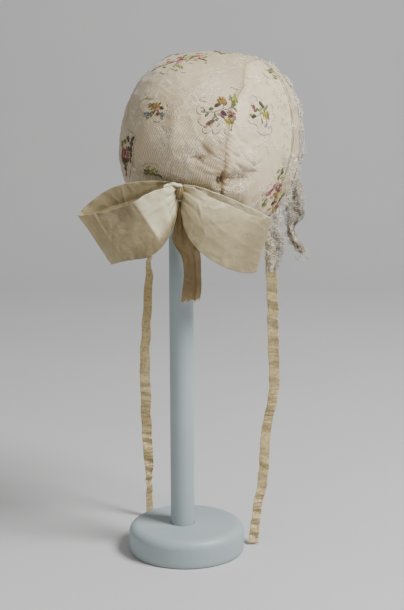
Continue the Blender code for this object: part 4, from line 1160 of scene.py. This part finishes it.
def bow_ribbon(name, node, stretches, creases, tone_and_painted_light, rows, columns, seed):
    last = len(stretches) - 1
    at, share = grid_shares(rows, columns, last)
    points = ribbon_surface(stretches, at, share)
    lines = []
    for from_at, from_share, to_at, to_share, width, depth in creases:
        start = ribbon_surface(stretches, np.array(from_at), np.array(from_share))
        end = ribbon_surface(stretches, np.array(to_at), np.array(to_share))
        lines.append((start, end, width, depth))
    normals = grid_normals(points)
    depth = pressed(points, lines, 1.25)
    near = np.minimum(at, last - at)
    gather = np.exp(-((near / 1.3) ** 2)) * np.minimum(near * 3, 1)
    pleats = 0.45 * MM * gather * np.sin(share * 2 * math.pi * 3.5 + at * 0.6)
    pleats += 0.12 * MM * np.exp(-((near / 1.6) ** 2)) * np.sin(share * 2 * math.pi * 7.5 + at)
    waves = 0.4 * MM * ripples(points, 30 * MM, seed) + 0.07 * MM * ripples(points, 8 * MM, seed + 1)
    crisp = 0.38 * MM * (crumples(points, 30 * MM, seed + 2) - 0.4)
    crisp += 0.24 * MM * (crumples(points, 11 * MM, seed + 4) - 0.4)
    free = np.minimum(near * 1.5, 1)
    relief = pleats + (waves + crisp) * free - depth
    edge = np.minimum(share, 1 - share)
    relief = relief + 0.25 * MM * np.exp(-((edge / 0.05) ** 2)) * np.sin(at * 9 + share * 3) * free
    points = points + relief[..., None] * normals
    uv = cloth_measure(points)
    # Painted shade in the creases, added to the loop's tone.
    darker = tone_and_painted_light(at, share) + 0.15 * np.clip(depth / MM, 0, 2)
    obj = make_piece(name, points, grid_faces(rows, columns), uv, (RIBBON,), darker.ravel())
    thicken(obj, RIBBON_CLOTH, 0)
    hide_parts(node)
    return obj


def left_loop_tone_and_painted_light(at, share):
    """Tone of the left loop: painted shade over most of it, a painted highlight on its swell beside the knot,
    painted light on the turn at its end, lighter on its rear layer and darker by the knot.
    """
    paler_and_painted_highlight = inside(at, 0.25, 3.0 - 0.95 * share, 0.14) * inside(share, -0.3, 1.0, 0.24)
    turn = inside(at, 4.95, 7.2, 0.12)
    rear = inside(at, 7.0, 14.0, 0.4)
    knot = np.exp(-((at / 0.4) ** 2)) * inside(share, 0.2, 1.2, 0.2)
    return 0.88 - 0.88 * paler_and_painted_highlight - 0.3 * turn - 0.25 * rear + 0.6 * knot


def right_loop_tone(at, share):
    # Tone of the right loop: lighter along its top edge and its rear layer, darker at its far end and by the
    # knot.
    top = np.exp(-((share / 0.12) ** 2)) * inside(at, 1, 5, 0.5)
    knot = np.exp(-((at / 0.45) ** 2)) * inside(share, 0.2, 1.2, 0.2)
    rear = inside(at, 6.6, 14.0, 0.4)
    end = inside(at, 3.9, 6.3, 0.8)
    return 0.5 - 0.12 * top - 0.34 * rear + 0.24 * end + 0.5 * knot


BOW_LEFT = bow_ribbon(
    "bow_left", "bow_loop_left", LEFT_LOOP, LEFT_CREASES, left_loop_tone_and_painted_light, rows=260, columns=60, seed=21
)
BOW_RIGHT = bow_ribbon(
    "bow_right", "bow_loop_right", RIGHT_LOOP, RIGHT_CREASES, right_loop_tone, rows=250, columns=64, seed=31
)


def bow_tail():
    rows, columns = 150, 34
    last = len(BOW_TAIL) - 1
    share = np.broadcast_to(np.linspace(0, 1, columns)[None, :], (rows, columns))
    ragged = 0.1 * np.sin(np.linspace(0, 19, columns)) + random.uniform(-0.04, 0.04, columns) - 0.08
    at = np.linspace(0, 1, rows)[:, None] * (last + ragged[None, :])
    at = np.clip(at, 0, last)
    points = ribbon_surface(BOW_TAIL, at, share)
    normals = grid_normals(points)
    fold = 1.5 * MM * np.exp(-(((share - 0.78) / 0.09) ** 2)) * np.clip(at - 1.2, 0, 1)
    pleats = 0.9 * MM * np.exp(-((at / 1.5) ** 2)) * np.sin(share * 2 * math.pi * 2.5)
    waves = 0.35 * MM * ripples(points, 16 * MM, 41) + 0.12 * MM * ripples(points, 6 * MM, 42)
    crisp = 0.28 * MM * crumples(points, 12 * MM, 43)
    points = points + (pleats + waves + crisp - fold)[..., None] * normals
    uv = cloth_measure(points)
    # The tail takes the darker aged silk, with painted shade under the loops.
    obj = make_piece("bow_end", points, grid_faces(rows, columns), uv, (AGED_SHADED_RIBBON,))
    thicken(obj, RIBBON_CLOTH, 0)
    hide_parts("bow_tail")
    ends = []
    for column in range(0, columns - 1):
        for part in (0.0, 0.5):
            start = points[-1, column] * (1 - part) + points[-1, column + 1] * part
            long = random.uniform(0.6, 2.2) * MM
            lean = random.uniform(-0.4, 0.4, 2) * MM
            middle = start + np.array([lean[0] * 0.4, lean[1] * 0.4, -long * 0.5])
            ends.append(np.array([start + [0, 0, 0.2 * MM], middle, start + [lean[0], lean[1], -long]]))
    fringe = thread_piece("bow_end_fray", ends, 0.09 * MM, SEWING, 4)
    return obj, fringe


BOW_END, BOW_FRAY = bow_tail()


def bow_gather():
    """The stitched gather where the loops meet, and the small tuft that stands above it."""
    rows, columns = 40, 56
    turn = np.linspace(0, 2 * math.pi, columns, endpoint=False)[None, :]
    rise = np.linspace(-0.5 * math.pi, 0.5 * math.pi, rows)[:, None]
    pleat = 1 + 0.1 * np.sin(turn * 11 + 2 * np.sin(rise * 2))
    across = 3.4 * np.cos(rise) * np.cos(turn) * pleat
    off = 2.6 + 2.6 * np.cos(rise) * np.sin(turn) * pleat
    up = -5.0 + 4.6 * np.sin(rise) + 0 * turn
    grid = from_knot(np.stack(np.broadcast_arrays(across, up, off), -1))
    closed = np.concatenate([grid, grid[:, :1]], axis=1)
    uv = np.stack([lengths_along(closed, 1), lengths_along(closed, 0)], -1)
    # The knot takes the darker aged silk: painted shade where the loops meet.
    knot = make_piece("bow_knot", closed, grid_faces(rows, columns + 1), uv, (AGED_SHADED_RIBBON,), 0.5)
    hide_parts("bow_gather")
    at = np.linspace(0, 1, 60)[:, None]
    share = np.linspace(0, 1, 18)[None, :]
    across = -10.5 + 11.5 * at + 0 * share
    up = 0.0 + 1.7 * np.sin(math.pi * at) - 2.2 * share + 0.25 * np.sin(at * 15)
    off = 6.2 - 3.0 * at + 1.1 * np.sin(math.pi * share) + 0.22 * np.sin(at * 13 + share * 3)
    points = from_knot(np.stack([across, up, off], -1))
    uv = cloth_measure(points)
    # Painted highlight: the tuft is paler, most of all along its middle.
    tone_and_painted_light = 0.3 - 0.2 * np.sin(math.pi * np.broadcast_to(share, points.shape[:2])).ravel()
    tuft = make_piece("bow_tuft", points, grid_faces(60, 18), uv, (RIBBON,), tone_and_painted_light)
    thicken(tuft, RIBBON_CLOTH, 0)
    return knot, tuft


BOW_KNOT_PIECE, BOW_TUFT = bow_gather()


# Ties
def hanging(places, at, share):
    """Places on a strip that hangs along its centreline, and its sideways direction."""
    table = np.array(places, float)
    table[:, :4] *= MM
    x, y, z, width, turn = np.moveaxis(smooth(at, np.arange(len(places)), table), -1, 0)
    turn = np.radians(turn)
    side = np.stack([np.cos(turn), np.sin(turn), 0 * turn], -1)
    points = np.stack([x, y, z], -1) + side * (width * (np.asarray(share) - 0.5))[..., None]
    face = np.stack([np.sin(turn), -np.cos(turn), 0 * turn], -1)
    return points, face


def tie(name, node, places, seed):
    rows, columns = 640, 15
    at, share = grid_shares(rows, columns, len(places) - 1)
    points, face = hanging(places, at, share)
    down = np.linspace(0, 1, rows)[:, None] * 230
    drawn_out = points * [0.2, 0.2, 1]
    slow = ripples(drawn_out, 26 * MM, seed)
    crinkle = np.sin(down * 2 * math.pi / 7.5 + 2.2 * slow + share * 1.2)
    crinkle = crinkle + 0.6 * np.sin(down * 2 * math.pi / 3.4 + 3 * slow - share * 2.0)
    strong = 0.5 + 0.5 * ripples(drawn_out, 40 * MM, seed + 5)
    middle = np.sin(math.pi * share) * 0.5
    fine = np.sin(down * 2 * math.pi / 1.9 + 5 * slow + share * 3.0)
    relief = (0.36 * crinkle + 0.1 * fine) * MM * np.clip(strong, 0.25, 1) + middle * MM * 0.9 * slow
    hem = np.minimum(share, 1 - share)
    relief = relief + 0.18 * MM * np.exp(-((hem / 0.06) ** 2)) * np.sin(down * 2.1)
    fold = np.arcsin(np.sin(down * 2 * math.pi / 10.5 + 4.5 * slow + share * 1.6)) * 2 / math.pi
    folded = np.clip(0.55 + ripples(drawn_out, 33 * MM, seed + 3), 0.1, 1)
    relief = relief + 0.85 * MM * fold * folded
    points = points + relief[..., None] * face
    sway = 0.5 * MM * ripples(points * [0.2, 0.2, 1], 14 * MM, seed + 9)
    points = points + sway[..., None] * np.cross(face, [0, 0, 1.0])
    uv = cloth_measure(points)
    obj = make_piece(name, points, grid_faces(rows, columns), uv, (TIE_SILK,))
    thicken(obj, TIE_CLOTH, 0)
    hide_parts(node)
    return obj


TIE_RIGHT = tie("tie_right_ribbon", "tie_right", RIGHT_TIE, seed=51)
TIE_LEFT = tie("tie_left_ribbon", "tie_left", LEFT_TIE, seed=61)


# Lace
def net(length, width, side, torn, seed):
    """Threads of a hexagonal net over length by width, in metres, with torn gaps."""
    dice = np.random.default_rng(seed)
    step = side * math.sqrt(3) / 2
    columns, rows = int(length / step) + 2, int(width / (1.5 * side)) + 2
    i, j = np.meshgrid(np.arange(columns), np.arange(rows), indexing="ij")
    odd = (i + j) % 2
    x = i * step + dice.uniform(-0.12, 0.12, i.shape) * side
    y = j * 1.5 * side + np.where(odd, 0.25, -0.25) * side + dice.uniform(-0.12, 0.12, i.shape) * side
    knots = np.stack([x, y], -1)
    along = np.stack([knots[:-1], knots[1:]], -2).reshape(-1, 2, 2)
    up = np.stack([knots[:, :-1], knots[:, 1:]], -2)[odd[:, :-1] == 1].reshape(-1, 2, 2)
    segments = np.concatenate([along, up])
    middle = segments.mean(1)
    within = (segments[..., 0].max(1) <= length) & (segments[..., 1].max(1) <= width)
    within &= (segments[..., 0].min(1) >= 0) & (segments[..., 1].min(1) >= 0)
    flat = np.concatenate([middle, np.zeros((len(middle), 1))], 1)
    holes = ripples(flat, 9 * MM, seed + 3) > torn
    return segments[within & ~holes]


def curls(length, width, pitch, seed):
    """Heavier threads of the lace: scallops, rings and leaves, as lines in metres."""
    dice = np.random.default_rng(seed)
    lines = []
    for middle in np.arange(pitch / 2, length, pitch):
        turn = np.linspace(0, math.pi, 9)
        rim = np.stack([middle - pitch / 2 * np.cos(turn), width * (0.82 + 0.16 * np.sin(turn))], -1)
        lines.append(rim)
        for lean in (-0.5, 0.0, 0.5):
            t = np.linspace(0, 2 * math.pi, 9)
            long = width * dice.uniform(0.16, 0.24)
            x = middle + lean * pitch * 0.55 + np.sin(t) * long * 0.45 + np.sin(lean) * np.cos(t) * long * 0.4
            y = width * (0.45 + 0.1 * abs(lean)) + np.cos(t) * long
            lines.append(np.stack([x, y], -1))
    return [np.clip(line, 0, [length, width]) for line in lines]


def frill_place(x, y):
    """A place on the gathered lace, x along it and y from its root, in metres."""
    share = -0.97 + 1.94 * np.asarray(x) / FRILL_LENGTH
    edge = bare_cap(FRONT_ANGLE, share)
    out = outward(FRONT_ANGLE + 0 * share, share)
    ahead = unit(edge - bare_cap(FRONT_ANGLE - 2, share))
    ahead = ahead * math.cos(LACE_FLARE) + out * math.sin(LACE_FLARE)
    phase = (share / 0.97 + 1) / 2 * LACE_WAVES * 2 * math.pi
    wave = LACE_WAVE_DEPTH * (np.sin(phase) + 0.35 * np.sin(phase * 2.7 + 1))
    limp = 0.5 * MM * np.sin(share * 17 + 1)
    y = np.asarray(y)
    root = edge - out * 0.3 * MM + ahead * 0.4 * MM
    part = (y / LACE_WIDTH)[..., None]
    swing = wave[..., None] * part + limp[..., None] * part**2
    return turned_cap(root + ahead * y[..., None] + out * swing)



def tangles(place, length, width, count, seed):
    """Loose ends of thread that curl over the lace."""
    dice = np.random.default_rng(seed)
    lines = []
    for number in range(count):
        t = np.linspace(0, 1, 22)
        turns = dice.uniform(1, 2.6) * 2 * math.pi
        wide = dice.uniform(0.8, 2.4) * MM
        x = dice.uniform(0, length) + wide * np.cos(turns * t) + dice.uniform(-3, 3) * MM * t
        y = dice.uniform(0.2, 1.0) * width + wide * np.sin(turns * t) * dice.uniform(0.5, 1)
        base = place(np.clip(x, 0, length), np.clip(y, 0.1 * width, 1.12 * width))
        off = dice.normal(size=3)
        lines.append(base + off / np.linalg.norm(off) * 0.9 * MM * np.sin(math.pi * t)[:, None])
    return lines


def ring(middle, radius):
    """A worked ring of the lace with its inner loops, in metres."""
    t = np.linspace(0, 2 * math.pi, 25)
    lines = []
    for number in range(7):
        size = radius if number < 2 else radius * 0.36
        lean = number * 2 * math.pi / 5
        off = 0 if number < 2 else radius * 0.52
        x = middle[0] + off * math.cos(lean) + size * np.cos(t) * (1 + 0.05 * number * (number < 2))
        z = middle[2] + off * math.sin(lean) + size * np.sin(t)
        y = middle[1] + 0.8 * MM * np.sin(t * 2 + number) + 0.25 * (x - middle[0])
        lines.append(np.stack([x, y, z], -1))
    return lines


def lace(name, node, place, length, width, pitch, torn, seed, layers, snarls, more=()):
    nets = []
    for layer in range(layers):
        segments = net(length, width, NET_SIDE, torn, seed + layer)
        lifted = place(segments[..., 0], segments[..., 1])
        nets.extend(list(lifted + random.uniform(-0.25, 0.25, 3) * MM * layer))
    lines = []
    for line in curls(length, width, pitch, seed + 7):
        fine = smooth(np.linspace(0, len(line) - 1, len(line) * 2), np.arange(len(line)), line)
        lines.append(place(fine[:, 0], fine[:, 1]))
    ground = thread_piece(name, nets, NET_THREAD, LACE_THREAD, 3)
    lines += tangles(place, length, width, snarls, seed + 5)
    lines += list(more)
    cords = thread_piece(name + "_cords", lines, LACE_CORD_RADIUS, LACE_CORD, 4)
    if node:
        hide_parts(node)
    return ground, cords


FRILL_KIND = {"torn": 0.55, "seed": 71, "layers": 2, "snarls": 190}
FRILL_SIZE = (FRILL_LENGTH, LACE_WIDTH, 7.5 * MM)
FRILL, FRILL_CORDS = lace("lace_edging", "lace_frill", frill_place, *FRILL_SIZE, **FRILL_KIND)


def fall_place(places, length, depth):
    def place(x, y):
        at = np.asarray(x) / length * (len(places) - 1)
        share = np.asarray(y) / depth
        points, face = hanging(places, at, share)
        fold = 0.8 * MM * np.sin(share * 9 + at * 1.1) + 0.4 * MM * np.sin(at * 5.3 + share * 4)
        return points + fold[..., None] * face

    return place


FALL_LENGTH = 0.064
FALL_WIDTH = 0.010
END_LENGTH = 0.043
END_WIDTH = 0.010
FALL_RING = ring(np.array([-66, -57.2, 197]) * MM, 4.6 * MM)
FALL_PLACE = fall_place(LACE_FALL, FALL_LENGTH, FALL_WIDTH)
END_PLACE = fall_place(LACE_END, END_LENGTH, END_WIDTH)
FALL_KIND = {"torn": 0.62, "seed": 81, "layers": 4, "snarls": 80, "more": FALL_RING}
END_KIND = {"torn": 0.6, "seed": 91, "layers": 4, "snarls": 50}
FALL_SIZE = (FALL_LENGTH, FALL_WIDTH, 6 * MM)
END_SIZE = (END_LENGTH, END_WIDTH, 6 * MM)
FALL, FALL_CORDS = lace("lace_torn_fall", "lace_fall", FALL_PLACE, *FALL_SIZE, **FALL_KIND)
END, END_CORDS = lace("lace_torn_end", "lace_end", END_PLACE, *END_SIZE, **END_KIND)


# Stand
STAND_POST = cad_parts["stand_post"]
STAND_POST.data.materials.clear()
STAND_POST.data.materials.append(PAINT)
FOOT_MIDDLE = np.array([-2.5, -0.9, 0])  # mm, as the foot's sizes below
FOOT_RADIUS, FOOT_TOP, FOOT_SHOULDER, FOOT_HEEL = 39, 18.7, 6, 1.5
SOCKET_RADIUS, SOCKET_FLOOR, SOCKET_EDGE = 8.08, 6.7, 0.4
FOOT_COLUMNS = 128
SHARP_EDGE = math.radians(30)


def turned_foot():
    """The foot, finely turned, with its socket off centre."""
    quarter = np.radians(np.linspace(0, 90, 11))
    heel, shoulder = FOOT_RADIUS - FOOT_HEEL, FOOT_RADIUS - FOOT_SHOULDER
    profile = [(heel + FOOT_HEEL * math.sin(a), FOOT_HEEL * (1 - math.cos(a)), 1) for a in quarter]
    for a in quarter:
        height = FOOT_TOP - FOOT_SHOULDER * (1 - math.sin(a))
        profile.append((shoulder + FOOT_SHOULDER * math.cos(a), height, 1))
    profile += [(shoulder - 1, FOOT_TOP, 1), (SOCKET_RADIUS + SOCKET_EDGE, FOOT_TOP, 0)]
    profile += [(SOCKET_RADIUS, FOOT_TOP - SOCKET_EDGE, 0), (SOCKET_RADIUS, SOCKET_FLOOR, 0)]
    columns = FOOT_COLUMNS
    turn = np.linspace(0, 2 * math.pi, columns, endpoint=False)
    around = np.stack([np.cos(turn), np.sin(turn), 0 * turn], -1)
    rings = [around * radius + [0, 0, height] + FOOT_MIDDLE * off for radius, height, off in profile]
    faces = []
    for row in range(len(rings) - 1):
        for column in range(columns):
            beside = (column + 1) % columns
            low, high = row * columns, (row + 1) * columns
            faces.append([low + column, low + beside, high + beside, high + column])
    faces.append(list(range(columns))[::-1])
    faces.append([(len(rings) - 1) * columns + column for column in range(columns)])
    mesh = bpy.data.meshes.new("painted_foot")
    mesh.from_pydata((np.concatenate(rings) * MM).tolist(), [], faces)
    obj = placed("painted_foot", mesh, [PAINT])
    mesh.set_sharp_from_angle(angle=SHARP_EDGE)
    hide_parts("stand_foot")


turned_foot()


# Floor, light and camera
def plain_material(name, colour, rough):
    material, tree, shader = start_material(name)
    body = body_place(tree)
    soft = noise(tree, body, 6, 2.0)
    dark = tuple(part * 0.97 for part in colour)
    plug(tree, shader.inputs["Base Color"], blended(tree, between(tree, soft, 0.3, 0.7), dark, colour))
    shader.inputs["Roughness"].default_value = rough
    return material


FLOOR_REACH = 0.9
FLOOR_HALF_WIDTH = 2.4
CURVE = 0.5


def studio():
    """A pale floor that curves up into a backdrop behind the stand."""
    away = np.array([-math.sin(CAMERA_AZIMUTH), math.cos(CAMERA_AZIMUTH)])
    beside = np.array([-away[1], away[0]])
    profile = [(-1.6, 0.0), (0.0, 0.0), (FLOOR_REACH, 0.0)]
    turn = np.radians(np.linspace(-90, 0, 24))
    profile += [(FLOOR_REACH + CURVE * math.cos(a), CURVE + CURVE * math.sin(a)) for a in turn]
    wall = FLOOR_REACH + CURVE
    profile += [(wall, 1.2), (wall, 2.4)]
    points = []
    for reach, height in profile:
        for side in np.linspace(-FLOOR_HALF_WIDTH, FLOOR_HALF_WIDTH, 9):
            x, y = away * reach + beside * side
            points.append((x, y, height))
    mesh = bpy.data.meshes.new("floor")
    mesh.from_pydata(points, [], grid_faces(len(profile), 9, True).tolist())
    mesh.materials.append(plain_material("pale_floor", (0.62, 0.62, 0.62), 0.7))
    mesh.shade_smooth()
    floor = bpy.data.objects.new("floor", mesh)
    bpy.context.scene.collection.objects.link(floor)


def area_light(name, azimuth, height, reach, size, energy, aim=(0, 0, 0.2)):
    data = bpy.data.lights.new(name, "AREA")
    data.shape = "DISK"
    data.size = size
    data.energy = energy
    lamp = bpy.data.objects.new(name, data)
    bpy.context.scene.collection.objects.link(lamp)
    turn = CAMERA_AZIMUTH + math.radians(azimuth)
    lamp.location = (math.sin(turn) * reach, -math.cos(turn) * reach, height)
    lamp.rotation_euler = (Vector(aim) - lamp.location).to_track_quat("-Z", "Y").to_euler()


def camera():
    data = bpy.data.cameras.new("camera")
    data.sensor_fit = "VERTICAL"
    data.sensor_height = 36
    data.lens = CAMERA_LENS
    obj = bpy.data.objects.new("camera", data)
    bpy.context.scene.collection.objects.link(obj)
    towards = Vector((-math.sin(CAMERA_AZIMUTH), math.cos(CAMERA_AZIMUTH), 0))
    right = Vector((math.cos(CAMERA_AZIMUTH), math.sin(CAMERA_AZIMUTH), 0))
    up = Vector((0, 0, 1))
    look = towards * math.cos(CAMERA_PITCH) - up * math.sin(CAMERA_PITCH)
    top = towards * math.sin(CAMERA_PITCH) + up * math.cos(CAMERA_PITCH)
    look, right = (
        look * math.cos(CAMERA_YAW) + right * math.sin(CAMERA_YAW),
        right * math.cos(CAMERA_YAW) - look * math.sin(CAMERA_YAW),
    )
    right, top = (
        right * math.cos(CAMERA_ROLL) + top * math.sin(CAMERA_ROLL),
        top * math.cos(CAMERA_ROLL) - right * math.sin(CAMERA_ROLL),
    )
    place = -towards * CAMERA_REACH + up * CAMERA_HEIGHT
    rows = [(right[i], top[i], -look[i], place[i]) for i in range(3)]
    obj.matrix_world = Matrix((*rows, (0, 0, 0, 1)))
    bpy.context.scene.camera = obj


studio()
area_light("key", 62, height=1.2, reach=0.92, size=0.55, energy=31)
area_light("fill", -45, height=0.8, reach=1.3, size=1.2, energy=3.2)
area_light("top", 20, height=1.8, reach=0.15, size=0.8, energy=3)
camera()
world = bpy.data.worlds.new("studio")
world.use_nodes = True
world.node_tree.nodes["Background"].inputs["Color"].default_value = (1.0, 0.98, 0.95, 1)
world.node_tree.nodes["Background"].inputs["Strength"].default_value = 0.16
bpy.context.scene.world = world
